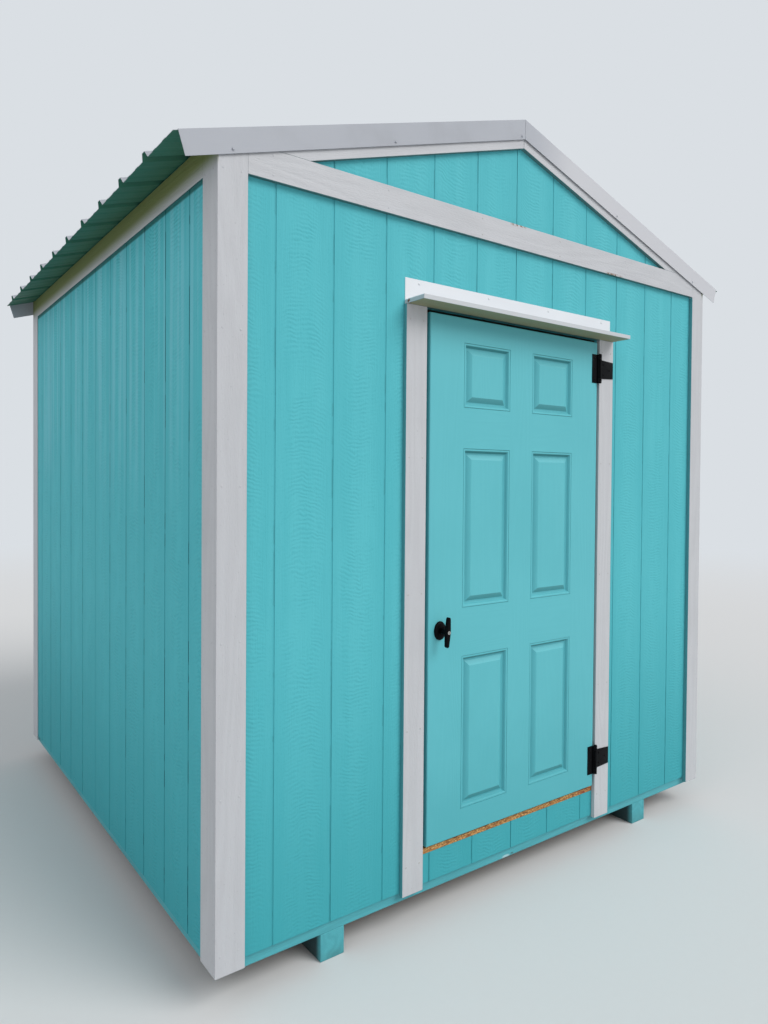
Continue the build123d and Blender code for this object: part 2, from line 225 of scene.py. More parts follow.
class Value:
    """A socket of a node tree. Arithmetic on it adds Math nodes."""

    def __init__(self, graph, socket):
        self.graph = graph
        self.socket = socket

    def other(self, name):
        """Another output of the same node."""
        return Value(self.graph, self.socket.node.outputs[name])

    def math(self, operation, *others):
        return self.graph.maths(operation, self, *others)

    def __add__(self, other):
        return self.graph.maths("ADD", self, other)

    def __radd__(self, other):
        return self.graph.maths("ADD", other, self)

    def __sub__(self, other):
        return self.graph.maths("SUBTRACT", self, other)

    def __rsub__(self, other):
        return self.graph.maths("SUBTRACT", other, self)

    def __mul__(self, other):
        return self.graph.maths("MULTIPLY", self, other)

    def __rmul__(self, other):
        return self.graph.maths("MULTIPLY", other, self)

    def __truediv__(self, other):
        return self.graph.maths("DIVIDE", self, other)


class Graph:
    """A node tree that is written as expressions."""

    def __init__(self, tree):
        self.tree = tree

    def add(self, kind, settings=None, sockets=None, output=None):
        """New node: its settings are set first, then its sockets get values or links."""
        node = self.tree.nodes.new(kind)
        for name, value in (settings or {}).items():
            if name == "stops":
                self.set_stops(node.color_ramp, value)
            else:
                setattr(node, name, value)
        for key, given in (sockets or {}).items():
            socket = node.inputs[key] if isinstance(key, int) else open_socket(node.inputs, key)
            for value in given if isinstance(given, list) else [given]:
                if isinstance(value, Value):
                    self.tree.links.new(value.socket, socket)
                else:
                    socket.default_value = value
        return Value(self, open_socket(node.outputs, output)) if node.outputs else node

    def set_stops(self, ramp, stops):
        while len(ramp.elements) < len(stops):
            ramp.elements.new(1.0)
        for element, (position, colour) in zip(ramp.elements, stops):
            element.position = position
            element.color = colour

    def maths(self, operation, *values):
        return self.add("ShaderNodeMath", {"operation": operation}, dict(enumerate(values)))

    def vector(self, x, y, z):
        return self.add("ShaderNodeCombineXYZ", None, {"X": x, "Y": y, "Z": z})


class Finish(Graph):
    """A material whose look comes from its nodes."""

    def __init__(self, name):
        self.material = bpy.data.materials.new(name)
        self.material.use_nodes = True
        super().__init__(self.material.node_tree)
        self.tree.nodes.clear()

    def place(self):
        return self.add("ShaderNodeTexCoord", output="Object")

    def attribute(self, name, output="Fac"):
        return self.add("ShaderNodeAttribute", {"attribute_name": name}, output=output)

    def split(self, vector):
        x = self.add("ShaderNodeSeparateXYZ", None, {"Vector": vector}, "X")
        return x, x.other("Y"), x.other("Z")

    def scaled(self, vector, scale):
        return self.add("ShaderNodeVectorMath", {"operation": "MULTIPLY"}, {0: vector, 1: scale})

    def noise(self, vector, scale=1.0, detail=2.0, roughness=0.5):
        return self.add("ShaderNodeTexNoise", None, {
            "Vector": vector, "Scale": scale, "Detail": detail, "Roughness": roughness})

    def cells(self, vector, scale=1.0, output="Color"):
        return self.add("ShaderNodeTexVoronoi", None, {"Vector": vector, "Scale": scale}, output)

    def between(self, value, start, end):
        """Smooth step from 0 at the start to 1 at the end."""
        return self.add("ShaderNodeMapRange", {"interpolation_type": "SMOOTHSTEP"}, {
            "Value": value, "From Min": start, "From Max": end})

    def near(self, place, centre, radius):
        """1 close to a point, falling to 0 at a radius."""
        distance = self.add("ShaderNodeVectorMath", {"operation": "DISTANCE"},
                            {0: place, 1: centre}, "Value")
        return 1 - self.between(distance, radius * 0.4, radius)

    def mix(self, factor, first, second):
        return self.add("ShaderNodeMix", {"data_type": "RGBA"},
                        {"Factor": factor, "A": first, "B": second}, "Result")

    def ramp(self, factor, *stops):
        return self.add("ShaderNodeValToRGB", {"stops": stops}, {"Fac": factor}, "Color")

    def bump(self, height, distance, under=None):
        sockets = {"Height": height, "Distance": distance, "Strength": 1.0}
        if under is not None:
            sockets["Normal"] = under
        return self.add("ShaderNodeBump", None, sockets)

    def surface(self, **sockets):
        """Principled shader on the given sockets, with the material as the result."""
        shader = self.add("ShaderNodeBsdfPrincipled", None, {
            name.replace("_", " "): value for name, value in sockets.items()})
        self.add("ShaderNodeOutputMaterial", None, {"Surface": shader})
        return self.material


class Maker(Graph):
    """A geometry tree with named inputs."""

    def __init__(self, name, inputs):
        super().__init__(bpy.data.node_groups.new(name, "GeometryNodeTree"))
        sides = self.tree.interface
        sides.new_socket("Geometry", in_out="OUTPUT", socket_type="NodeSocketGeometry")
        self.keys = {}
        for label, kind in inputs.items():
            made = sides.new_socket(label, in_out="INPUT", socket_type="NodeSocket" + kind)
            self.keys[label] = made.identifier
        node = self.tree.nodes.new("NodeGroupInput")
        self.given = {label: Value(self, node.outputs[label]) for label in inputs}

    def end(self, geometry):
        real = self.add("GeometryNodeRealizeInstances", None, {"Geometry": geometry})
        shown = self.add("GeometryNodeSetMaterial", None,
                         {"Geometry": real, "Material": self.given["Material"]})
        self.add("NodeGroupOutput", None, {0: shown})

    def make(self, name, start, values):
        """Plain mesh that the tree gives for a starting mesh and its named inputs."""
        carrier = bpy.data.objects.new(name, start)
        SCENE.collection.objects.link(carrier)
        modifier = carrier.modifiers.new(name, "NODES")
        modifier.node_group = self.tree
        for label, value in values.items():
            modifier[self.keys[label]] = value
        ready = carrier.evaluated_get(bpy.context.evaluated_depsgraph_get())
        mesh = bpy.data.meshes.new_from_object(ready)
        mesh.name = name
        carrier.modifiers.remove(modifier)
        bpy.data.objects.remove(carrier)
        return mesh


def profiled_sheet_tree():
    """Sheet with bumps at even spacing, some large and some small, drawn out along its run."""
    names = ("Length", "First", "Spacing", "Base", "Top", "Height", "Small Base", "Small Top",
             "Small Height", "Thickness", "Back Follows", "Run")
    inputs = {name: "Float" for name in names}
    inputs.update({"Bumps": "Int", "Large First": "Int", "Large Every": "Int", "Material": "Material"})
    tree = Maker("profiled_sheet", inputs)
    given = tree.given
    half = given["Bumps"] * 4 + 2

    index = tree.add("GeometryNodeInputIndex")
    on_back = index.math("GREATER_THAN", half - 0.5)
    step = index + on_back * (half * 2 - 1 - index * 2)
    bump = ((step - 1) / 4).math("FLOOR")
    corner = step - 1 - bump * 4
    on_top = corner.math("COMPARE", 1.5, 0.6)
    side = corner.math("GREATER_THAN", 1.5) * 2 - 1
    place = bump + given["Large Every"] - given["Large First"]
    large = place.math("MODULO", given["Large Every"]).math("LESS_THAN", 0.5)

    def either(name):
        small = given["Small " + name]
        return small + large * (given[name] - small)

    base = either("Base")
    width = base + on_top * (either("Top") - base)
    at_start = step.math("LESS_THAN", 0.5)
    at_end = step.math("GREATER_THAN", half - 1.5)
    on_bump = 1 - at_start - at_end
    along = on_bump * (given["First"] + bump * given["Spacing"] + side * width / 2)
    along = along + at_end * given["Length"]
    rise = on_bump * on_top * either("Height")
    rise = rise * (1 - on_back * (1 - given["Back Follows"])) - on_back * given["Thickness"]

    line = tree.add("GeometryNodeMeshLine", None, {"Count": half * 2})
    outline = tree.add("GeometryNodeSetPosition", None,
                       {"Geometry": line, "Position": tree.vector(along, rise, 0.0)})
    curve = tree.add("GeometryNodeMeshToCurve", None, {"Mesh": outline})
    closed = tree.add("GeometryNodeSetSplineCyclic", None, {0: curve, "Cyclic": True})
    section = tree.add("GeometryNodeFillCurve", {"mode": "NGONS"}, {"Curve": closed})
    drawn = tree.add("GeometryNodeExtrudeMesh", {"mode": "FACES"}, {
        "Mesh": section, "Offset": tree.vector(0.0, 0.0, given["Run"]), "Individual": False})
    foot = tree.add("GeometryNodeFlipFaces", None, {"Mesh": section})
    whole = tree.add("GeometryNodeJoinGeometry", None, {"Geometry": [drawn, foot]})
    tree.end(tree.add("GeometryNodeMergeByDistance", None, {"Geometry": whole, "Distance": MERGE}))
    return tree


def fastener_tree():
    """Screw or nail heads on points, each over its washer and turned by chance about its shank."""
    names = ("Head Radius", "Head Height", "Crown Share", "Washer Radius", "Washer Height")
    inputs = {"Geometry": "Geometry"}
    inputs.update({name: "Float" for name in names})
    inputs.update({"Head Sides": "Int", "Seed": "Int", "Material": "Material"})
    tree = Maker("fasteners", inputs)
    given = tree.given
    washer = tree.add("GeometryNodeMeshCone", None, {
        "Vertices": 14, "Radius Bottom": given["Washer Radius"],
        "Radius Top": given["Washer Radius"] * 0.86, "Depth": given["Washer Height"]}, "Mesh")
    head = tree.add("GeometryNodeMeshCone", None, {
        "Vertices": given["Head Sides"], "Radius Bottom": given["Head Radius"],
        "Radius Top": given["Head Radius"] * given["Crown Share"],
        "Depth": given["Head Height"]}, "Mesh")
    lifted = tree.add("GeometryNodeTransform", None, {
        "Geometry": head, "Translation": tree.vector(0.0, 0.0, given["Washer Height"])})
    both = tree.add("GeometryNodeJoinGeometry", None, {"Geometry": [washer, lifted]})

    outward = tree.add("GeometryNodeInputNamedAttribute", {"data_type": "FLOAT_VECTOR"},
                       {"Name": "outward"}, "Attribute")
    stand = tree.add("FunctionNodeAlignRotationToVector", {"axis": "Z"}, {"Vector": outward})
    angle = tree.add("FunctionNodeRandomValue", {"data_type": "FLOAT"},
                     {"Min": 0.0, "Max": math.tau, "Seed": given["Seed"]})
    turn = tree.add("FunctionNodeAxisAngleToRotation", None, {"Axis": (0, 0, 1), "Angle": angle})
    rotation = tree.add("FunctionNodeRotateRotation", {"rotation_space": "LOCAL"},
                        {"Rotation": stand, "Rotate By": turn})
    points = tree.add("GeometryNodeMeshToPoints", None, {"Mesh": given["Geometry"]})
    tree.end(tree.add("GeometryNodeInstanceOnPoints", None, {
        "Points": points, "Instance": both, "Rotation": rotation}))
    return tree


# Finishes


def wood_figure(finish, grain, rings):
    """Growth rings and fine fibres on coordinates whose first axis runs along the wood."""
    field = finish.noise(finish.scaled(grain, (0.75, 8.0, 8.0)), 1.0, 2.0, 0.45)
    ring = (field * rings).math("SINE") * 0.5 + 0.5
    fibre = finish.noise(finish.scaled(grain, (10.0, 300.0, 300.0)), 1.0, 3.0, 0.6)
    return ring, fibre


def siding_paint():
    """Turquoise paint over pressed wood grain: ripples up each plank's middle, fibres at its sides."""
    finish = Finish("siding_paint")
    place = finish.place()
    x, _, z = finish.split(place)
    across, shift, lean = finish.split(finish.attribute("plank", "Vector"))
    cloud = finish.noise(place, 1.6, 4.0)
    drift = finish.noise(finish.scaled(place, (9.0, 9.0, 5.0)), 1.0, 2.0)
    wander = finish.noise(finish.scaled(place, (42.0, 42.0, 30.0)), 1.0, 2.0)
    fibre = finish.noise(finish.scaled(place, (260.0, 260.0, 9.0)), 1.0, 3.0, 0.6)
    streak = finish.noise(finish.scaled(place, (26.0, 26.0, 0.5)), 1.0, 3.0)
    speck = finish.noise(place, 170.0, 2.0)

    reach = across / (GROOVE_PITCH / 2)
    bend = reach * reach * lean * RIPPLE_BEND
    crest = z + bend + drift * RIPPLE_DRIFT + wander * RIPPLE_WANDER + shift
    wave = (crest * (math.tau / RIPPLE_SPACING)).math("SINE") * 0.5 + 0.5
    middle = 1 - finish.between(reach.math("ABSOLUTE") + (drift - 0.5) * 0.9, 0.25, 0.90)
    patch = finish.between(finish.noise(finish.scaled(place, (15.0, 15.0, 6.0)), 1.0, 2.0), 0.30, 0.54)
    broken = finish.between(finish.noise(finish.scaled(place, (40.0, 40.0, 24.0)), 1.0, 2.0), 0.34, 0.60)
    on_side = finish.between(x.math("ABSOLUTE"), HALF_WIDTH - 0.02, HALF_WIDTH - 0.01)
    ripple = wave * middle * patch * (0.35 + broken * 0.65) * (0.50 + on_side * 0.40)

    colour = finish.mix(finish.between(streak, 0.32, 0.68), srgb(88, 185, 195), srgb(92, 188, 198))
    colour = finish.mix(finish.between(cloud, 0.35, 0.75) * 0.35, colour, srgb(82, 180, 191))
    # Painted reflection: the side walls get a more saturated teal than the front.
    colour = finish.mix(on_side * 0.3, colour, srgb(70, 192, 203))
    colour = finish.mix(ripple * 0.24 + fibre * (1 - middle) * 0.26, colour, srgb(50, 152, 165))
    colour = finish.mix(finish.between(speck, 0.58, 0.76) * 0.24, colour, srgb(56, 158, 170))
    # Painted reflection: pale streaks over the upper side walls stand in for sky sheen.
    painted_sky_sheen = finish.between(streak, 0.46, 0.66) * finish.between(z + cloud * 0.6, 1.60, 2.35) * on_side
    colour = finish.mix(painted_sky_sheen * 0.45, colour, srgb(132, 202, 216))
    # Painted shade: the walls darken towards the bottom.
    low_painted_shade = 1 - finish.between(z + cloud * 0.5, 0.25, 1.45)
    colour = finish.mix(low_painted_shade * 0.7, colour, srgb(52, 152, 162))
    # Painted shadow: a dark green line on the side walls just below the frieze boards.
    painted_frieze_shadow = (1 - finish.between(low("frieze_boards").z - z, 0.010, 0.020)) * on_side
    colour = finish.mix(painted_frieze_shadow * 0.85, colour, srgb(16, 84, 78))
    # Painted shade in the grooves: darker, broken into dashes, and stronger on the side walls.
    dashes = finish.between(finish.noise(finish.scaled(place, (11.0, 11.0, 9.0)), 1.0, 3.0), 0.52, 0.56)
    groove = finish.attribute("groove") * (0.05 + on_side * 0.32 + dashes * (0.14 + on_side * 0.49))
    colour = finish.mix(groove, colour, srgb(6, 40, 50))
    swell = finish.bump(streak, 0.0002)
    relief = finish.bump(ripple + fibre * 0.35 + speck * 0.22, 0.0013, swell)
    return finish.surface(Base_Color=colour, Roughness=0.60 + speck * 0.08,
                          Specular_IOR_Level=0.14, Normal=relief)


def board_back():
    """Raw pressed-wood inner face of the siding."""
    finish = Finish("board_back")
    place = finish.place()
    flakes = finish.cells(finish.scaled(place, (22.0, 22.0, 9.0)))
    tone, _, _ = finish.split(flakes)
    fibre = finish.noise(place, 140.0, 3.0)
    colour = finish.ramp(tone, (0.0, srgb(150, 112, 70)), (0.55, srgb(184, 146, 98)),
                         (1.0, srgb(205, 172, 124)))
    colour = finish.mix(fibre * 0.4, colour, srgb(128, 92, 56))
    return finish.surface(Base_Color=colour, Roughness=0.72 + fibre * 0.15,
                          Normal=finish.bump(tone + fibre * 0.5, 0.0006))


def trim_paint():
    """Pale grey paint on wood trim, with fine grain, faint dirt and a few chipped edges."""
    finish = Finish("trim_paint")
    place = finish.place()
    grain = finish.attribute("grain", "Vector")
    tint = finish.attribute("tint")
    ring, fibre = wood_figure(finish, grain, 70.0)
    cloud = finish.noise(place, 5.0, 4.0)
    pits = finish.noise(place, 120.0, 2.0)
    colour = finish.mix(tint, srgb(189, 191, 196), srgb(195, 197, 201))
    colour = finish.mix(finish.between(cloud, 0.4, 0.8) * 0.3, colour, srgb(178, 180, 184))
    colour = finish.mix(ring * fibre * 0.28, colour, srgb(166, 167, 172))
    colour = finish.mix(finish.between(pits, 0.66, 0.74) * 0.35, colour, srgb(146, 148, 154))
    band_low = low("gable_bands").z
    band_high = high("gable_bands").z
    chips = finish.near(place, (-0.025, TRIM_FACE_Y, band_high), 0.050)
    lower = finish.near(place, (0.550, TRIM_FACE_Y, band_low), 0.070)
    edge = finish.split(place)[2]
    rim = (1 - finish.between(edge, band_low + 0.002, band_low + 0.010)).math(
        "MAXIMUM", finish.between(edge, band_high - 0.012, band_high - 0.003))
    ragged = finish.between(finish.noise(place, 90.0, 3.0), 0.42, 0.50)
    bare = chips.math("MAXIMUM", lower) * rim * ragged
    colour = finish.mix(bare, colour, srgb(128, 98, 70))
    # Painted shade: downward faces of the trim turn dark teal.
    colour = finish.mix(finish.attribute("underside") * 0.9, colour, srgb(20, 96, 96))
    x, y, _ = finish.split(place)
    aside = x.math("ABSOLUTE")
    # Painted shade and teal reflected light on the inner edges of the end corner boards and the outer
    # edges of the door casings, below the gable band.
    from_edge = (x - LEFT_INNER_EDGE).math("ABSOLUTE")
    from_edge = from_edge.math("MINIMUM", (x - RIGHT_INNER_EDGE).math("ABSOLUTE"))
    from_edge = from_edge.math("MINIMUM", (aside - high("door_casings").x).math("ABSOLUTE"))
    painted_teal_edges = 1 - finish.between(from_edge, 0.0004, 0.0012)
    painted_teal_edges = painted_teal_edges * (1 - finish.between(edge, band_low - 0.004, band_low - 0.002))
    colour = finish.mix(painted_teal_edges * 0.9, colour, srgb(44, 140, 148))
    ledge = high("header_flashing").x
    ledge_bottom = low("header_flashing").z
    # Painted shade and reflected olive light on the board under the flashing, in front of the trim face;
    # its ends stay pale.
    under_flashing = finish.between(TRIM_FACE_Y - y, 0.0005, 0.0015)
    under_flashing = under_flashing * (1 - finish.between(aside, ledge - 0.0015, ledge - 0.0005))
    colour = finish.mix(under_flashing * 0.85, colour, srgb(150, 144, 108))
    rust = finish.near(place, (-ledge, FRONT_Y - 0.022, ledge_bottom + 0.004), 0.012)
    colour = finish.mix(rust * ragged, colour, srgb(122, 66, 34))
    # Painted shade and reflected olive light on the side trim, strongest at the top under the eaves.
    under_eave = finish.between(aside, HALF_WIDTH, HALF_WIDTH + 0.002)
    frieze_low = low("frieze_boards").z
    frieze_high = high("frieze_boards").z
    under_eave = under_eave * finish.between(edge, frieze_low - 0.005, frieze_high - 0.040)
    colour = finish.mix(under_eave * 0.95, colour, srgb(108, 118, 54))
    stipple = finish.noise(finish.scaled(grain, (70.0, 260.0, 260.0)), 1.0, 2.0)
    relief = finish.bump(ring * 0.4 + fibre * 0.7 + stipple * 0.8 - bare * 0.8, 0.0010)
    return finish.surface(Base_Color=colour, Roughness=0.48 + fibre * 0.2, Normal=relief)


def raw_timber(finish, grain, tint):
    """Colour, figure and fibres of sawn softwood with a few knots."""
    ring, fibre = wood_figure(finish, grain, 62.0)
    knots = finish.cells(finish.scaled(grain, (2.6, 9.0, 9.0)), 1.0, "Distance")
    knot = 1 - finish.between(knots, 0.05, 0.13)
    colour = finish.mix(tint, srgb(206, 172, 122), srgb(222, 192, 146))
    colour = finish.mix(ring * 0.5, colour, srgb(182, 140, 90))
    colour = finish.mix(fibre * 0.35, colour, srgb(160, 120, 78))
    return finish.mix(knot * 0.85, colour, srgb(104, 66, 38)), ring, fibre


def framing_timber():
    """Sawn softwood studs, plates and rafters, with painted shade darkening their front edges round the
    doorway.
    """
    finish = Finish("framing_timber")
    grain = finish.attribute("grain", "Vector")
    colour, ring, fibre = raw_timber(finish, grain, finish.attribute("tint"))
    # Painted shade: timber within a few centimetres of the front face turns dark.
    painted_front_shade = 1 - finish.between(finish.split(finish.place())[1], FRONT_Y + 0.030, FRONT_Y + 0.060)
    colour = finish.mix(painted_front_shade * 0.9, colour, srgb(34, 48, 46))
    return finish.surface(Base_Color=colour, Roughness=0.66 + fibre * 0.2,
                          Normal=finish.bump(ring * 0.4 + fibre, 0.0006))


def base_paint():
    """Floor timbers, painted on the faces that look outwards and bare behind a ragged edge."""
    finish = Finish("base_paint")
    place = finish.place()
    grain = finish.attribute("grain", "Vector")
    bare, ring, fibre = raw_timber(finish, grain, finish.attribute("tint"))
    bare = finish.mix(0.55, bare, srgb(126, 118, 84))
    x, y, z = finish.split(place)
    inset = (y - FRAME_FRONT_Y).math("MINIMUM", FRAME_REAR_Y - y)
    inset = inset.math("MINIMUM", FRAME_HALF - x.math("ABSOLUTE"))
    ragged = finish.noise(place, 28.0, 4.0)
    painted = 1 - finish.between(inset + (ragged - 0.5) * 0.12, 0.16, 0.30)
    colour = finish.mix(fibre, srgb(64, 154, 165), srgb(86, 178, 187))
    colour = finish.mix(ring * 0.25, colour, srgb(52, 134, 145))
    # Painted shadow: the top of the floor timbers darkens just under the siding's bottom edge.
    painted_siding_shadow = finish.between(z, WALL_BOTTOM - 0.009, WALL_BOTTOM - 0.002)
    colour = finish.mix(painted_siding_shadow * 0.6, colour, srgb(26, 88, 96))
    long_place = finish.scaled(place, (1.0, 1.0, 3.0))
    nick = Vector((-0.032, FRAME_FRONT_Y, low("floor_joists").z * 3 + 0.012))
    scuff = finish.near(long_place, nick, 0.026) * finish.between(ragged, 0.38, 0.44)
    colour = finish.mix(scuff * 0.8, colour, srgb(176, 210, 214))
    chip = finish.near(long_place, nick + Vector((0.034, 0.0, 0.010)), 0.010)
    colour = finish.mix(chip * 0.8, colour, srgb(44, 54, 46))
    soil = (1 - finish.between(z + ragged * 0.06, 0.01, 0.08)) * 0.4
    colour = finish.mix(soil, colour, srgb(52, 84, 80))
    # Painted shade: painted faces more than a few centimetres in from the outer faces turn dark, as
    # under the floor.
    colour = finish.mix(finish.between(inset, 0.004, 0.03) * 0.9, colour, srgb(30, 42, 44))
    return finish.surface(Base_Color=finish.mix(painted, bare, colour),
                          Roughness=0.5 + fibre * 0.25,
                          Normal=finish.bump(ring * 0.5 + fibre, 0.0008))


def deck_board():
    """Pressed strand board, with its layered flakes on the edges."""
    finish = Finish("deck_board")
    place = finish.place()
    first, _, _ = finish.split(finish.cells(finish.scaled(place, (95.0, 95.0, 320.0))))
    second, _, _ = finish.split(finish.cells(finish.scaled(place, (190.0, 60.0, 260.0))))
    tone = first * 0.6 + second * 0.4
    speck = finish.noise(place, 190.0, 3.0)
    colour = finish.ramp(tone, (0.1, srgb(120, 74, 34)), (0.42, srgb(172, 118, 62)),
                         (0.70, srgb(202, 152, 88)), (1.0, srgb(232, 194, 128)))
    colour = finish.mix(finish.between(speck, 0.52, 0.72) * 0.8, colour, srgb(104, 62, 28))
    stain = finish.near(place, (0.44, FRONT_Y, high("floor_deck").z), 0.10)
    colour = finish.mix(stain * finish.between(speck, 0.35, 0.6) * 0.7, colour, srgb(132, 52, 36))
    return finish.surface(Base_Color=colour, Roughness=0.62 + speck * 0.2,
                          Normal=finish.bump(tone + speck, 0.0008))


def roof_steel():
    """Pale painted steel sheet with slight waves, rain streaks and dust."""
    finish = Finish("roof_steel")
    place = finish.place()
    streak = finish.noise(finish.scaled(place, (1.2, 26.0, 1.2)), 1.0, 3.0)
    dust = finish.noise(place, 9.0, 5.0)
    fine = finish.noise(place, 420.0, 2.0)
    colour = finish.mix(streak, srgb(162, 166, 175), srgb(172, 176, 184))
    colour = finish.mix(finish.between(dust, 0.45, 0.8) * 0.35, colour, srgb(152, 155, 161))
    colour = finish.mix(fine * 0.08, colour, srgb(124, 126, 132))
    x, y, _ = finish.split(place)
    # Painted light: on the right-hand half, pieces more than about a centimetre in front of the wall,
    # chiefly the front rake trim, are made paler.
    painted_right_rake_light = finish.between(x, 0.01, 0.30) * (1 - finish.between(y, FRONT_Y - 0.014, FRONT_Y - 0.006))
    colour = finish.mix(painted_right_rake_light * 0.8, colour, srgb(202, 203, 208))
    wave = finish.bump(finish.noise(place, 4.0, 1.0), 0.0020)
    return finish.surface(Base_Color=colour, Roughness=0.40 + dust * 0.18, Specular_IOR_Level=0.35,
                          Normal=finish.bump(fine, 0.00015, wave))


def roof_backer():
    """Dull grey-green coat on the underside of the roof sheets, darkened and greened as painted shade
    and painted reflected light.
    """
    finish = Finish("roof_backer")
    place = finish.place()
    dust = finish.noise(place, 7.0, 5.0)
    fine = finish.noise(place, 300.0, 2.0)
    colour = finish.mix(dust, srgb(46, 104, 84), srgb(66, 126, 104))
    colour = finish.mix(fine * 0.2, colour, srgb(34, 72, 60))
    return finish.surface(Base_Color=colour, Roughness=0.48 + dust * 0.2,
                          Normal=finish.bump(fine, 0.0002))


def flashing_steel():
    """White coated steel over the door, with a rust spot at one end."""
    finish = Finish("flashing_steel")
    place = finish.place()
    dust = finish.noise(finish.scaled(place, (3.0, 8.0, 8.0)), 1.0, 5.0)
    fine = finish.noise(place, 420.0, 2.0)
    left, front, bottom = low("header_flashing")
    colour = finish.mix(dust, srgb(214, 218, 224), srgb(230, 233, 237))
    lip = 1 - finish.between(finish.split(place)[1], front + 0.003, front + 0.006)
    colour = finish.mix(lip * 0.8, colour, srgb(186, 191, 195))
    spot = finish.near(place, (left, FRONT_Y - 0.022, bottom + 0.006), 0.012)
    spot = spot * finish.between(finish.noise(place, 260.0, 3.0), 0.36, 0.55)
    colour = finish.mix(spot, colour, srgb(122, 66, 34))
    return finish.surface(Base_Color=colour, Roughness=0.32 + dust * 0.2 + spot * 0.4,
                          Normal=finish.bump(fine, 0.0002))


def door_paint():
    """Turquoise satin on the door, with faint moulded grain along stiles and rails."""
    finish = Finish("door_paint")
    place = finish.place()
    ring, fibre = wood_figure(finish, finish.attribute("grain", "Vector"), 90.0)
    z = finish.split(place)[2]
    cloud = finish.noise(place, 3.2, 5.0)
    colour = finish.mix(cloud, srgb(88, 180, 190), srgb(97, 188, 198))
    colour = finish.mix(ring * fibre * 0.12, colour, srgb(74, 166, 177))
    # Painted shade: the top of the door darkens under the flashing.
    painted_top_shade = finish.between(z + cloud * 0.12, DOOR_HIGH.z - 0.10, DOOR_HIGH.z + 0.06)
    colour = finish.mix(painted_top_shade * 0.15, colour, srgb(78, 146, 150))
    # Painted shade: the door darkens towards the bottom.
    low_painted_shade = 1 - finish.between(z + cloud * 0.3, DOOR_LOW.z + 0.10, DOOR_LOW.z + 0.70)
    colour = finish.mix(low_painted_shade * 0.6, colour, srgb(70, 163, 173))
    # Painted shade, with some dirt, in the creases of the mouldings.
    colour = finish.mix(finish.attribute("crease") * 0.55, colour, srgb(34, 118, 130))
    # Painted shade on the downward faces of the mouldings.
    colour = finish.mix(finish.attribute("underside") * 0.8, colour, srgb(44, 112, 112))
    return finish.surface(Base_Color=colour, Roughness=0.38 + fibre * 0.12 + cloud * 0.1,
                          Specular_IOR_Level=0.40, Normal=finish.bump(ring * 0.5 + fibre * 0.6, 0.00022))


def black_steel():
    """Black powder coat with a fine pebbled skin, greyer where it is rubbed."""
    finish = Finish("black_steel")
    place = finish.place()
    pebble = finish.noise(place, 700.0, 2.0)
    rub = finish.between(finish.noise(place, 45.0, 4.0), 0.5, 0.78)
    colour = finish.mix(rub * 0.4, srgb(3, 3, 6), srgb(18, 19, 24))
    return finish.surface(Base_Color=colour, Roughness=0.50 + rub * 0.16, Specular_IOR_Level=0.08,
                          Normal=finish.bump(pebble, 0.00025))


def key_steel():
    """Brushed lock cylinder with its key slot."""
    finish = Finish("key_steel")
    place = finish.place()
    x, _, z = finish.split(place)
    centre = (CORE_LOW + CORE_HIGH) / 2
    brushed = finish.noise(finish.scaled(place, (900.0, 900.0, 90.0)), 1.0, 2.0)
    across = (x - centre.x).math("ABSOLUTE")
    upright = (z - centre.z).math("ABSOLUTE")
    # The key slot is painted near-black: painted shade in place of its depth.
    slot = (1 - finish.between(across, 0.0006, 0.0009)) * (1 - finish.between(upright, 0.0034, 0.0038))
    colour = finish.mix(brushed, srgb(176, 175, 170), srgb(206, 205, 200))
    return finish.surface(Base_Color=finish.mix(slot, colour, srgb(16, 16, 16)),
                          Metallic=1 - slot, Roughness=0.24 + brushed * 0.2,
                          Normal=finish.bump(brushed - slot * 4.0, 0.0002))


def washer_rubber():
    """Dark seal under the roof screws."""
    finish = Finish("washer_rubber")
    grit = finish.noise(finish.place(), 500.0, 3.0)
    return finish.surface(Base_Color=finish.mix(grit, srgb(38, 38, 40), srgb(66, 66, 68)),
                          Roughness=0.7 + grit * 0.2, Normal=finish.bump(grit, 0.0003))


SIDING_PAINT = siding_paint()
BOARD_BACK = board_back()
TRIM_PAINT = trim_paint()
FRAMING_TIMBER = framing_timber()
BASE_PAINT = base_paint()
DECK_BOARD = deck_board()
ROOF_STEEL = roof_steel()
ROOF_BACKER_AND_SHADE = roof_backer()
FLASHING_STEEL = flashing_steel()
DOOR_PAINT = door_paint()
BLACK_STEEL = black_steel()
KEY_STEEL = key_steel()
WASHER_RUBBER = washer_rubber()
SHEET_TREE = profiled_sheet_tree()
FASTENER_TREE = fastener_tree()


# Pieces


def show(name, mesh, body, slot, nodes=(), smooth=False):
    """Put a finished mesh in the scene on its body, in place of the nodes that it stands for."""
    piece = bpy.data.objects.new(name, mesh)
    SCENE.collection.objects.link(piece)
    if smooth:
        mesh.shade_smooth()
        mesh.set_sharp_from_angle(angle=SMOOTH_ANGLE)
    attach(piece, body)
    if nodes:
        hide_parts(*nodes)


def mesh_of(name, shape, *materials):
    """Mesh of a finished shape, with its materials."""
    mesh = bpy.data.meshes.new(name)
    shape.to_mesh(mesh)
    shape.free()
    for material in materials:
        mesh.materials.append(material)
    return mesh


def islands(shape):
    """Groups of faces that hang together."""
    waiting = set(shape.faces)
    while waiting:
        group = set()
        edge = [waiting.pop()]
        while edge:
            face = edge.pop()
            group.add(face)
            for neighbour in (n for line in face.edges for n in line.link_faces):
                if neighbour in waiting:
                    waiting.discard(neighbour)
                    edge.append(neighbour)
        yield group


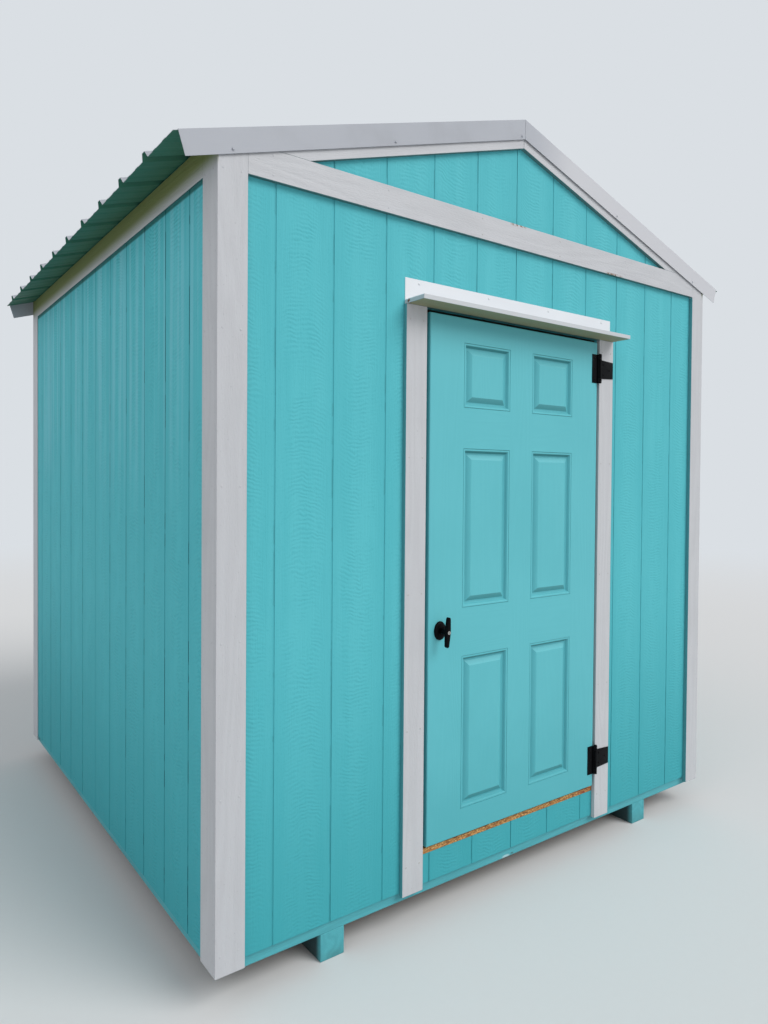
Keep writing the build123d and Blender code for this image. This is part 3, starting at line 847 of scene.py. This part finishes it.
def lay_grain(shape, seed):
    """Give each board grain coordinates along its longest edge, a tint and a painted-shade weight on its
    downward faces.
    """
    chance = random.Random(seed)
    grain = shape.loops.layers.float_vector.new("grain")
    tint = shape.loops.layers.float.new("tint")
    underside = shape.loops.layers.float.new("underside")
    shape.normal_update()
    groups = [sorted(group, key=lambda face: face.index) for group in islands(shape)]
    for group in sorted(groups, key=lambda faces: faces[0].index):
        longest = max((line for face in group for line in face.edges),
                      key=lambda line: (round(line.calc_length(), 5), -line.index))
        along = (longest.verts[1].co - longest.verts[0].co).normalized()
        across = along.orthogonal().normalized()
        through = along.cross(across)
        shift = Vector([chance.uniform(0, 20) for _ in range(3)])
        shade = chance.random()
        for loop in (loop for face in group for loop in face.loops):
            spot = loop.vert.co
            loop[grain] = Vector((spot.dot(along), spot.dot(across), spot.dot(through))) + shift
            loop[tint] = shade
            loop[underside] = max(0.0, -loop.face.normal.z)


def eased_copy(node, ease, steps=2):
    """Copy of a node's solids with its sharp edges eased."""
    shape = bmesh.new()
    shape.from_mesh(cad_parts[node].data)
    bmesh.ops.remove_doubles(shape, verts=shape.verts, dist=MERGE)
    bmesh.ops.dissolve_limit(shape, angle_limit=FLAT_ANGLE, verts=shape.verts, edges=shape.edges)
    sharp = [line for line in shape.edges if line.is_manifold and line.calc_face_angle() > EASE_ANGLE]
    bmesh.ops.bevel(shape, geom=sharp, offset=ease, offset_type="OFFSET", segments=steps,
                    profile=0.5, affect="EDGES", clamp_overlap=True)
    shape.faces.index_update()
    shape.edges.index_update()
    return shape


def finished_copy(node, body, slot, material, ease, steps=2, smooth=False, reshape=None):
    """A node's own shape with eased edges, grain and finish, and with its points moved where asked."""
    shape = eased_copy(node, ease, steps)
    if reshape:
        for vertex in shape.verts:
            reshape(vertex.co)
    lay_grain(shape, node)
    name = node + "_finished"
    show(name, mesh_of(name, shape, material), body, slot, [node], smooth)


def upright_frame(origin, outward, up):
    """Matrix that takes along, outward and up to places in the frame."""
    along = outward.cross(up)
    return Matrix.Translation(origin) @ Matrix((along, outward, up)).transposed().to_4x4()


def siding_sheet(origin, outward, length, run, first, wall):
    """One sheet of grooved siding, with grooves from a first place on and each plank's own grain."""
    grooves = max(0, int((length - GROOVE_WIDTH - first) / GROOVE_PITCH) + 1)
    mesh = SHEET_TREE.make("siding_sheet", bpy.data.meshes.new("start"), {
        "Length": length, "First": first, "Spacing": GROOVE_PITCH, "Bumps": grooves,
        "Large First": 0, "Large Every": 1, "Base": GROOVE_WIDTH, "Top": GROOVE_FLOOR,
        "Height": -GROOVE_DEPTH, "Small Base": GROOVE_WIDTH, "Small Top": GROOVE_FLOOR,
        "Small Height": 0.0, "Thickness": SIDING_THICKNESS, "Back Follows": 0.0, "Run": run,
        "Material": SIDING_PAINT})
    shape = bmesh.new()
    shape.from_mesh(mesh)
    groove = shape.verts.layers.float.new("groove")
    for vertex in shape.verts:
        if -SIDING_THICKNESS / 2 < vertex.co.y < -GROOVE_DEPTH / 2:
            vertex[groove] = 1.0
    plank = shape.loops.layers.float_vector.new("plank")
    start = outward.cross(UP).dot(origin)
    for face in shape.faces:
        face.material_index = 1 if face.normal.y < -0.9 else 0
        count = math.floor((face.calc_center_median().x - first) / GROOVE_PITCH)
        middle = first + (count + 0.5) * GROOVE_PITCH
        chance = random.Random(f"{wall} {start + middle:.2f}")
        shift = chance.uniform(0.0, 1.0)
        lean = chance.choice((-1, 1)) * chance.uniform(0.6, 1.0)
        for loop in face.loops:
            loop[plank] = (loop.vert.co.x - middle, shift, lean)
    shape.transform(upright_frame(origin, outward, UP))
    return shape


def add_shape(whole, shape):
    """Join one shape to another."""
    mesh = mesh_of("joined", shape)
    whole.from_mesh(mesh)
    bpy.data.meshes.remove(mesh)


def wall_siding(name, nodes, outward, phase, sheets):
    """Siding of one wall: sheets as spans along the wall and up, with grooves in phase."""
    whole = bmesh.new()
    whole.verts.layers.float.new("groove")
    whole.loops.layers.float_vector.new("plank")
    along = outward.cross(UP)
    face = low(nodes[0]) if outward.x + outward.y < 0 else high(nodes[0])
    for (start, end), (bottom, top) in sheets:
        origin = outward * face.dot(outward) + UP * bottom + along * start
        first = (phase - start) % GROOVE_PITCH
        if first < GROOVE_WIDTH:
            first += GROOVE_PITCH
        add_shape(whole, siding_sheet(origin, outward, end - start, top - bottom, first, name))
    for vertex in whole.verts:
        vertex.co.z = min(vertex.co.z, roof_height(vertex.co.x))
    show(name, mesh_of(name, whole, SIDING_PAINT, BOARD_BACK), "shed", "siding_paint", nodes)


def all_siding():
    """Siding of the four walls. Along the front the spans run from right to left."""
    joint = -FRONT_JOINT_X
    door_half = high("front_siding_below_door").x
    head = high("front_siding_left").z
    sill = high("front_siding_below_door").z
    outer = ((-HALF_WIDTH, joint - SHEET_GAP / 2), (joint + SHEET_GAP / 2, HALF_WIDTH))
    inner = ((-door_half, joint - SHEET_GAP / 2), (joint + SHEET_GAP / 2, door_half))
    beside = ((-HALF_WIDTH, -door_half), (door_half, HALF_WIDTH))
    sheets = [(span, (head, PEAK)) for span in outer]
    sheets += [(span, (WALL_BOTTOM, head)) for span in beside]
    sheets += [(span, (WALL_BOTTOM, sill)) for span in inner]
    wall_siding("front_siding", ["front_siding_over_door", "front_siding_left", "front_siding_right",
                                 "front_siding_below_door"], FRONTWARD, joint, sheets)

    halves = ((-HALF_WIDTH, -SHEET_GAP / 2), (SHEET_GAP / 2, HALF_WIDTH))
    wall_siding("rear_siding_finished", ["rear_siding"], REARWARD, 0.0,
                [(span, (WALL_BOTTOM, PEAK)) for span in halves])

    middle = (FRAME_FRONT_Y + FRAME_REAR_Y) / 2
    for node, outward, sign in (("left_siding", LEFTWARD, 1), ("right_siding", RIGHTWARD, -1)):
        ends = sorted((sign * FRAME_FRONT_Y, sign * FRAME_REAR_Y))
        seam = sign * (SIDE_GROOVE_Y + GROOVE_PITCH * round((middle - SIDE_GROOVE_Y) / GROOVE_PITCH))
        spans = ((ends[0], seam - SHEET_GAP / 2), (seam + SHEET_GAP / 2, ends[1]))
        wall_siding(node + "_finished", [node], outward, sign * SIDE_GROOVE_Y,
                    [(span, (WALL_BOTTOM, WALL_TOP)) for span in spans])


def slope_axes(side):
    """Directions down one slope and square to it."""
    return (Vector((side * math.cos(SLOPE), 0, -math.sin(SLOPE))),
            Vector((side * math.sin(SLOPE), 0, math.cos(SLOPE))))


def on_slope(side, along, lift, y=0.0):
    """Place at a distance down one slope and square to it."""
    down, square = slope_axes(side)
    return Vector((0, y, PEAK)) + down * along + square * lift


def roof_frame(side, along, lift):
    """Matrix at a distance down one slope, with its second axis square to the slope."""
    down, square = slope_axes(side)
    return upright_frame(on_slope(side, along, lift), square, down)


def rib_places():
    """Places of the large ribs from front to back."""
    first = low("left_roof_sheet").y + FIRST_RIB
    return [first + RIB_PITCH * k for k in range(RIB_COUNT)]


def roof_sheets():
    """Ribbed sheets of both slopes, with two small ribs between the large ones."""
    front = low("left_roof_sheet").y
    rear = high("left_roof_sheet").y
    eave = -low("left_roof_sheet").x / math.cos(SLOPE)
    spacing = RIB_PITCH / (SMALL_RIBS + 1)
    before_first = SMALL_RIBS
    after_last = 1
    bumps = before_first + (RIB_COUNT - 1) * (SMALL_RIBS + 1) + 1 + after_last
    for side, node in ((-1, "left_roof_sheet"), (1, "right_roof_sheet")):
        placed = roof_frame(side, RIDGE_OPENING, ROOF_SHEET)
        from_front = placed.col[0].y > 0
        small = before_first if from_front else after_last
        edge = rib_places()[0] - front if from_front else rear - rib_places()[-1]
        mesh = SHEET_TREE.make(node + "_ribbed", bpy.data.meshes.new("start"), {
            "Length": rear - front, "First": edge - small * spacing, "Spacing": spacing,
            "Bumps": bumps, "Large First": small, "Large Every": SMALL_RIBS + 1,
            "Base": RIB_BASE, "Top": RIB_TOP, "Height": RIB_HEIGHT,
            "Small Base": SMALL_RIB_BASE, "Small Top": SMALL_RIB_TOP,
            "Small Height": SMALL_RIB_HEIGHT, "Thickness": ROOF_SHEET, "Back Follows": 1.0,
            "Run": eave - RIDGE_OPENING, "Material": ROOF_STEEL})
        mesh.materials.clear()
        mesh.materials.append(ROOF_STEEL)
        mesh.materials.append(ROOF_BACKER_AND_SHADE)
        for face in mesh.polygons:
            face.material_index = 1 if face.normal.y < -0.3 else 0
        shift = (front if from_front else rear) - placed.translation.y
        mesh.transform(Matrix.Translation((0, shift, 0)) @ placed)
        show(node + "_ribbed", mesh, "shed", "roof_steel", [node])


def fasteners(name, body, slot, material, spots, size):
    """Heads of one size on spots, each a place and the direction that it faces."""
    head, height, sides, crown, *given = size
    washer, washer_height = given or (head, height / 4)
    start = bpy.data.meshes.new("start")
    start.from_pydata([tuple(place) for place, _ in spots], [], [])
    outward = start.attributes.new("outward", "FLOAT_VECTOR", "POINT")
    outward.data.foreach_set("vector", [part for _, facing in spots for part in facing])
    mesh = FASTENER_TREE.make(name, start, {
        "Head Radius": head, "Head Height": height, "Crown Share": crown, "Head Sides": sides,
        "Washer Radius": washer, "Washer Height": washer_height, "Seed": SEED, "Material": material})
    show(name, mesh, body, slot)


def door_profile():
    """Moulded edge round a panel as insets, depths and painted shade with some dirt, from the stile to
    the raised field.
    """
    line = [(0.0, 0.0, 0.0), (QUIRK_WIDTH / 2, QUIRK_DEPTH, 1.0), (QUIRK_WIDTH, QUIRK_LIP, 0.0)]
    bead = QUIRK_WIDTH + BEAD_WIDTH
    for step in range(CURVE_STEPS + 1):
        share = step / CURVE_STEPS
        curve = share * share * (3 - 2 * share)
        depth = BEAD_DROP + (PANEL_DEPTH - BEAD_DROP) * curve
        line.append((bead + SLOPE_RUN * share, depth, curve * SLOPE_SHADE_AND_DIRT))
    foot = bead + SLOPE_RUN + PANEL_FLAT
    for step in range(CURVE_STEPS + 1):
        share = step / CURVE_STEPS
        left = (1 - share) ** BEVEL_CURVE
        depth = FIELD_DEPTH + (PANEL_DEPTH - FIELD_DEPTH) * left
        line.append((foot + BEVEL_RUN * share, depth, left * SLOPE_SHADE_AND_DIRT))
    return line


def door_cuts():
    """Lines across and up the door where its stiles, rails and panels meet."""
    half = (DOOR_HIGH.x - DOOR_LOW.x) / 2
    across = [-half, -half + STILE, -MULLION / 2, MULLION / 2, half - STILE, half]
    up = [DOOR_LOW.z]
    for part in (BOTTOM_RAIL, BOTTOM_PANEL, LOCK_RAIL, MIDDLE_PANEL, FRIEZE_RAIL, TOP_PANEL):
        up.append(up[-1] + part)
    return across, up + [DOOR_HIGH.z]


def outline(across, up):
    """Points round a rectangle, with the cuts on its edges."""
    points = [(x, up[0]) for x in across[:-1]] + [(across[-1], z) for z in up[:-1]]
    return points + [(x, up[-1]) for x in across[:0:-1]] + [(across[0], z) for z in up[:0:-1]]


def ring_faces(shape, first, second):
    """Faces between two closed rings of as many points."""
    count = len(first)
    for k in range(count):
        after = (k + 1) % count
        shape.faces.new((first[k], first[after], second[after], second[k]))


def door_face(shape, y, inward, across, up):
    """One side of the door: stiles and rails with six moulded panels between them."""
    crease = shape.verts.layers.float["crease"]

    # A point's dirt value is painted shade with some dirt, kept in the crease layer.
    def point(x, z, depth=0.0, dirt=0.0):
        vertex = shape.verts.new((x, y + inward * depth, z))
        vertex[crease] = dirt
        return vertex

    for column in range(len(across) - 1):
        for row in range(len(up) - 1):
            left, right = across[column], across[column + 1]
            bottom, top = up[row], up[row + 1]
            if column % 2 == 0 or row % 2 == 0:
                corners = ((left, bottom), (right, bottom), (right, top), (left, top))
                shape.faces.new([point(*corner) for corner in corners])
                continue
            rings = []
            for inset, depth, dirt in door_profile():
                corners = ((left + inset, bottom + inset), (right - inset, bottom + inset),
                           (right - inset, top - inset), (left + inset, top - inset))
                rings.append([point(*corner, depth, dirt) for corner in corners])
            for first, second in zip(rings, rings[1:]):
                ring_faces(shape, first, second)
            shape.faces.new(rings[-1])


def door_leaf():
    """The six-panel door, moulded on both sides."""
    shape = bmesh.new()
    shape.verts.layers.float.new("crease")
    across, up = door_cuts()
    eased_across = [across[0] + DOOR_EASE] + across[1:-1] + [across[-1] - DOOR_EASE]
    eased_up = [up[0] + DOOR_EASE] + up[1:-1] + [up[-1] - DOOR_EASE]
    rings = []
    for cuts, y in (((eased_across, eased_up), DOOR_LOW.y), ((across, up), DOOR_LOW.y + DOOR_EASE),
                    ((across, up), DOOR_HIGH.y - DOOR_EASE), ((eased_across, eased_up), DOOR_HIGH.y)):
        rings.append([shape.verts.new((x, y, z)) for x, z in outline(*cuts)])
    for first, second in zip(rings, rings[1:]):
        ring_faces(shape, first, second)
    door_face(shape, DOOR_LOW.y, 1, eased_across, eased_up)
    door_face(shape, DOOR_HIGH.y, -1, eased_across, eased_up)
    bmesh.ops.remove_doubles(shape, verts=shape.verts, dist=MERGE)
    bmesh.ops.recalc_face_normals(shape, faces=shape.faces)

    grain = shape.loops.layers.float_vector.new("grain")
    underside = shape.loops.layers.float.new("underside")
    for face in shape.faces:
        centre = face.calc_center_median()
        column = sum(centre.x > cut for cut in across[1:-1])
        row = sum(centre.z > cut for cut in up[1:-1])
        rail = column % 2 == 1 and row % 2 == 0
        for loop in face.loops:
            x, y, z = loop.vert.co
            loop[grain] = (x + row, z, y) if rail else (z, x + column, y)
            loop[underside] = max(0.0, -face.normal.z)
    mesh = mesh_of("door_leaf_moulded", shape, DOOR_PAINT)
    show("door_leaf_moulded", mesh, "door", "door_paint", ["door_leaf"])


def turned(name, profile, centre, body, slot, material, nodes, steps=48, squeeze=1.0):
    """Piece turned about an axis from front to back: radii and distances in front of its centre."""
    shape = bmesh.new()
    rings = []
    for radius, forward in profile:
        ring = []
        for k in range(steps):
            angle = math.tau * k / steps
            offset = Vector((radius * math.cos(angle) * squeeze, -forward, radius * math.sin(angle)))
            ring.append(shape.verts.new(centre + offset))
        rings.append(ring)
    for first, second in zip(rings, rings[1:]):
        ring_faces(shape, first, second)
    shape.faces.new(rings[0])
    shape.faces.new(rings[-1])
    bmesh.ops.recalc_face_normals(shape, faces=shape.faces)
    show(name, mesh_of(name, shape, material), body, slot, nodes, smooth=True)


def slim_grip(point):
    """Draw the grip's bar slimmer than the solid, on its neck and spindle."""
    middle = (ROSE_LOW.x + ROSE_HIGH.x) / 2
    back = low("handle_grip").y + GRIP_THICKNESS
    if point.y < back + GRIP_SLIMMER / 2:
        point.x = middle + (point.x - middle) * GRIP_WIDTH_SHARE
        point.y = min(point.y, back - GRIP_SLIMMER)


def handle():
    """Oval rose, T grip, key cylinder and inside lever."""
    centre = (ROSE_LOW + ROSE_HIGH) / 2
    radius = (ROSE_HIGH.x - ROSE_LOW.x) / 2
    thick = ROSE_HIGH.y - ROSE_LOW.y
    dome = [(radius, 0.0), (radius, thick * ROSE_RIM)]
    for step in range(1, ROSE_STEPS + 1):
        angle = math.pi / 2 * step / ROSE_STEPS
        dome.append((radius * (1 - ROSE_DOME + ROSE_DOME * math.cos(angle)),
                     thick * (ROSE_RIM + (1 - ROSE_RIM) * math.sin(angle))))
    dome += [(radius * 0.46, thick), (radius * 0.44, thick * 0.93), (radius * 0.36, thick * 0.93)]
    door_side = Vector((centre.x, ROSE_HIGH.y, centre.z))
    turned("handle_rose_turned", dome, door_side, "door", "black_steel", BLACK_STEEL, ["handle_rose"],
           squeeze=ROSE_SQUEEZE)

    core = (CORE_HIGH.x - CORE_LOW.x) / 2
    proud = CORE_HIGH.y - CORE_LOW.y
    barrel = [(core, 0.0), (core, proud * 0.7), (core * 0.92, proud), (core * 0.66, proud),
              (core * 0.62, proud * 0.8), (core * 0.1, proud * 0.8)]
    core_back = Vector(((CORE_LOW.x + CORE_HIGH.x) / 2, CORE_HIGH.y, (CORE_LOW.z + CORE_HIGH.z) / 2))
    turned("handle_key_core_turned", barrel, core_back, "handle", "key_steel", KEY_STEEL,
           ["handle_key_core"], 28)
    finished_copy("handle_grip", "handle", "black_steel", BLACK_STEEL, GRIP_EASE, smooth=True,
                  reshape=slim_grip)
    finished_copy("handle_inside_lever", "handle", "black_steel", BLACK_STEEL, LEVER_EASE, smooth=True)


def hinge_spots(node, height, columns):
    """Screw spots on both hinges, as distances from the pin and from the hinge's middle."""
    face = (TRIM_FACE_Y if node == "hinge_straps" else DOOR_LOW.y) - HINGE_SHEET
    middles = (low(node).z + height / 2, high(node).z - height / 2)
    return [(Vector((PIN.x + across, face, middle + up)), FRONTWARD)
            for middle in middles for across, up in columns]


def hardware():
    """Hinges with their screws, and the screws of roof, rakes and flashing."""
    for node, body in (("hinge_plates", "door"), ("hinge_straps", "shed"), ("hinge_pins", "shed")):
        finished_copy(node, body, "black_steel", BLACK_STEEL, HARDWARE_EASE, smooth=True)
    strap = hinge_spots("hinge_straps", STRAP_ROOT, STRAP_SCREWS)
    plate = hinge_spots("hinge_plates", HINGE_HEIGHT, PLATE_SCREWS)
    fasteners("hinge_strap_screws", "shed", "black_steel", BLACK_STEEL, strap, HINGE_SCREW)
    fasteners("hinge_plate_screws", "door", "black_steel", BLACK_STEEL, plate, HINGE_SCREW)

    roof = []
    cap = []
    for side in (-1, 1):
        _, square = slope_axes(side)
        for y in rib_places():
            beside = y + RIB_BASE / 2 + SCREW_BESIDE_RIB
            roof += [(on_slope(side, along, ROOF_SHEET, beside), square) for along in PURLIN_ROWS]
            cap.append((on_slope(side, CAP_ROW, RIB_HEIGHT + CAP_OVER_RIBS, y), square))
    fasteners("roof_screw_seals", "shed", "roof_steel", WASHER_RUBBER, roof + cap, ROOF_SEAL)
    fasteners("roof_screws", "shed", "roof_steel", ROOF_STEEL, roof + cap, ROOF_SCREW)

    rake = []
    for y, facing in ((low("front_rake_trim").y, FRONTWARD), (high("rear_rake_trim").y, REARWARD)):
        rake += [(Vector((x, y, roof_height(x) - RAKE_SCREW_DROP)), facing) for x in RAKE_SCREW_PLACES]
    fasteners("rake_screws", "shed", "roof_steel", ROOF_STEEL, rake, RAKE_SCREW)

    flange_z = high("header_flashing").z - FLANGE_SCREW_DROP
    spread = high("header_flashing").x - FLANGE_SCREW_INSET
    flange = [(Vector((spread * share, FRONT_Y - FLASHING_SHEET, flange_z)), FRONTWARD)
              for share in (-1, -0.33, 0.33, 1)]
    fasteners("flashing_screws", "shed", "flashing_steel", FLASHING_STEEL, flange, FLASHING_SCREW)


def side_proud(x):
    """How far the side boards on one side stand out from the wall."""
    return LEFT_TRIM_PROUD if x < 0 else RIGHT_TRIM_PROUD


def nail_row(x, y, facing, bottom, top):
    """Spots up a board at even gaps."""
    count = max(2, round((top - bottom) / NAIL_GAP) + 1)
    return [(Vector((x, y, bottom + (top - bottom) * k / (count - 1))), facing) for k in range(count)]


def trim_nails():
    """Small painted nail heads on the trim boards."""
    spots = []
    foot = low("end_corner_boards").z
    base = foot + CORNER_NAIL_RISE
    head = low("gable_bands").z
    casing_head = low("header_flashing").z - CASING_NAIL_DROP
    for side, facing in ((-1, LEFTWARD), (1, RIGHTWARD)):
        outer = HALF_WIDTH + side_proud(side)
        for inset in (NAIL_INSET, TRIM_WIDTH - NAIL_INSET):
            x = side * (outer - inset)
            spots += nail_row(x, TRIM_FACE_Y, FRONTWARD, base, head)
            spots += nail_row(x, TRIM_REAR_Y, REARWARD, base, head)
            spots += nail_row(side * outer, FRONT_Y + inset, facing, base, head)
            spots += nail_row(side * outer, REAR_Y - inset, facing, base, head)
            x = side * (high("door_casings").x - inset)
            spots += nail_row(x, TRIM_FACE_Y, FRONTWARD, foot + CASING_NAIL_RISE, casing_head)
    for k in range(BAND_NAILS):
        x = BAND_FIRST_NAIL + NAIL_GAP * k
        for z in (head + NAIL_INSET, high("gable_bands").z - NAIL_INSET):
            spots.append((Vector((x, TRIM_FACE_Y, z)), FRONTWARD))
            spots.append((Vector((x, TRIM_REAR_Y, z)), REARWARD))
    fasteners("trim_nails", "shed", "trim_paint", TRIM_PAINT, spots, TRIM_NAIL)


TIMBER = ("side_wall_studs", "rear_wall_studs", "front_wall_studs", "door_jambs", "door_header",
          "door_stops", "side_sole_plates", "end_sole_plates", "side_top_plates", "end_top_plates",
          "rafters", "ridge_board", "purlins")
TRIM = ("end_corner_boards", "side_corner_boards", "gable_bands", "rake_boards", "frieze_boards",
        "door_casings")
BASE = ("skids", "floor_joists", "floor_end_bands")
BENT_STEEL = ("ridge_cap", "front_rake_trim", "rear_rake_trim")


def lap_end_board(point):
    """Run the end boards out over the edges of the side boards, and keep them under the roof."""
    if point.x > 0 or point.x < TRIM_THICKNESS - HALF_WIDTH:
        point.x += math.copysign(side_proud(point.x), point.x)
        point.z = min(point.z, roof_height(point.x))


def reach_end_board(point):
    """Draw the boards across the ends out to the right-hand end boards."""
    if point.x > HALF_WIDTH - TRIM_WIDTH - TRIM_THICKNESS / 4:
        point.x += RIGHT_TRIM_PROUD
        point.z = min(point.z, roof_height(point.x))


def tuck_side_board(point):
    """Set the side boards behind the end boards, close to the wall."""
    if abs(point.x) > HALF_WIDTH + TRIM_THICKNESS / 2:
        point.x -= math.copysign(TRIM_THICKNESS - side_proud(point.x), point.x)
    point.y -= math.copysign(TRIM_THICKNESS, point.y)


RESHAPED = {"end_corner_boards": lap_end_board, "side_corner_boards": tuck_side_board,
            "frieze_boards": tuck_side_board, "gable_bands": reach_end_board,
            "rake_boards": reach_end_board}


def boards_and_sheets():
    """Timbers, trim boards and bent sheets with eased edges."""
    for nodes, slot, material, ease in ((TIMBER, "framing_timber", FRAMING_TIMBER, TIMBER_EASE),
                                        (TRIM, "trim_paint", TRIM_PAINT, TRIM_EASE),
                                        (BASE, "base_paint", BASE_PAINT, BASE_EASE),
                                        (BENT_STEEL, "roof_steel", ROOF_STEEL, BENT_EASE)):
        for node in nodes:
            finished_copy(node, "shed", slot, material, ease, reshape=RESHAPED.get(node))
    finished_copy("floor_deck", "shed", "deck_board", DECK_BOARD, DECK_EASE, 1)
    finished_copy("header_flashing", "shed", "flashing_steel", FLASHING_STEEL, HARDWARE_EASE)


# Studio


CAMERA_PLACE = (-2.0613, -3.0894, 1.5135)
CAMERA_YAW = math.radians(36.0)
CAMERA_PITCH = math.radians(-0.948)
CAMERA_ROLL = math.radians(0.4085)
CAMERA_LENS = 25.682
CAMERA_SHIFT = (0.0084, -0.0175)
BACKGROUND = srgb(218, 223, 228)
FLOOR_COLOUR = srgb(216, 217, 218)
FLOOR_RADIUS = 60.0
FADE_START = 5.0
FADE_END = 16.0
FILL_STRENGTH = 0.50


def camera():
    """Camera where the picture's viewpoint was found."""
    made = bpy.data.objects.new("camera", bpy.data.cameras.new("camera"))
    made.data.lens = CAMERA_LENS
    made.data.shift_x, made.data.shift_y = CAMERA_SHIFT
    made.data.clip_end = 200.0
    turn = (Matrix.Rotation(-CAMERA_YAW, 4, "Z") @ Matrix.Rotation(math.pi / 2 + CAMERA_PITCH, 4, "X")
            @ Matrix.Rotation(CAMERA_ROLL, 4, "Z"))
    made.matrix_world = Matrix.Translation(CAMERA_PLACE) @ turn
    SCENE.collection.objects.link(made)
    SCENE.camera = made


def seen_directly(graph):
    """1 for rays that show the background: from the camera, or by way of a mirror or glass."""
    ray = graph.add("ShaderNodeLightPath", output="Is Camera Ray")
    mirrored = ray.math("MAXIMUM", ray.other("Is Glossy Ray"))
    return mirrored.math("MAXIMUM", ray.other("Is Transmission Ray"))


def lamp(name, strength, spread, aim, colour):
    """Distant soft lamp that shines along a direction."""
    made = bpy.data.objects.new(name, bpy.data.lights.new(name, "SUN"))
    made.data.energy = strength
    made.data.angle = math.radians(spread)
    made.data.color = colour
    made.rotation_euler = Vector(aim).to_track_quat("-Z", "Y").to_euler()
    SCENE.collection.objects.link(made)


def studio():
    """Pale floor that fades into the background, soft key light and even fill."""
    shape = bmesh.new()
    bmesh.ops.create_circle(shape, cap_ends=True, radius=FLOOR_RADIUS, segments=96)
    finish = Finish("floor")
    place = finish.place()
    x, y, _ = finish.split(place)
    radius = (x * x + y * y).math("SQRT")
    grit = finish.noise(place, 40.0, 4.0)
    paint = finish.add("ShaderNodeBsdfPrincipled", None, {
        "Base Color": finish.mix(grit * 0.1, FLOOR_COLOUR, srgb(196, 197, 198)), "Roughness": 0.85})
    glow = finish.add("ShaderNodeEmission", None, {"Color": BACKGROUND, "Strength": 1.0})
    fade = finish.between(radius, FADE_START, FADE_END) * seen_directly(finish)
    both = finish.add("ShaderNodeMixShader", None, {"Fac": fade, 1: paint, 2: glow})
    finish.add("ShaderNodeOutputMaterial", None, {"Surface": both})
    floor = bpy.data.objects.new("floor", mesh_of("floor", shape, finish.material))
    SCENE.collection.objects.link(floor)

    world = bpy.data.worlds.new("studio")
    world.use_nodes = True
    world.node_tree.nodes.clear()
    SCENE.world = world
    sky = Graph(world.node_tree)
    fill = sky.add("ShaderNodeBackground", None, {
        "Color": srgb(252, 253, 255), "Strength": FILL_STRENGTH})
    backdrop = sky.add("ShaderNodeBackground", None, {"Color": BACKGROUND, "Strength": 1.0})
    either = sky.add("ShaderNodeMixShader", None, {"Fac": seen_directly(sky), 1: fill, 2: backdrop})
    sky.add("ShaderNodeOutputWorld", None, {"Surface": either})

    lamp("key", strength=1.88, spread=36, aim=(-0.36, 0.66, -0.66), colour=(1.0, 0.985, 0.96))
    lamp("side_fill", strength=0.45, spread=50, aim=(0.72, 0.28, -0.64), colour=(0.95, 0.98, 1.0))
    SCENE.view_settings.view_transform = "Standard"


all_siding()
boards_and_sheets()
roof_sheets()
door_leaf()
handle()
hardware()
trim_nails()
camera()
studio()
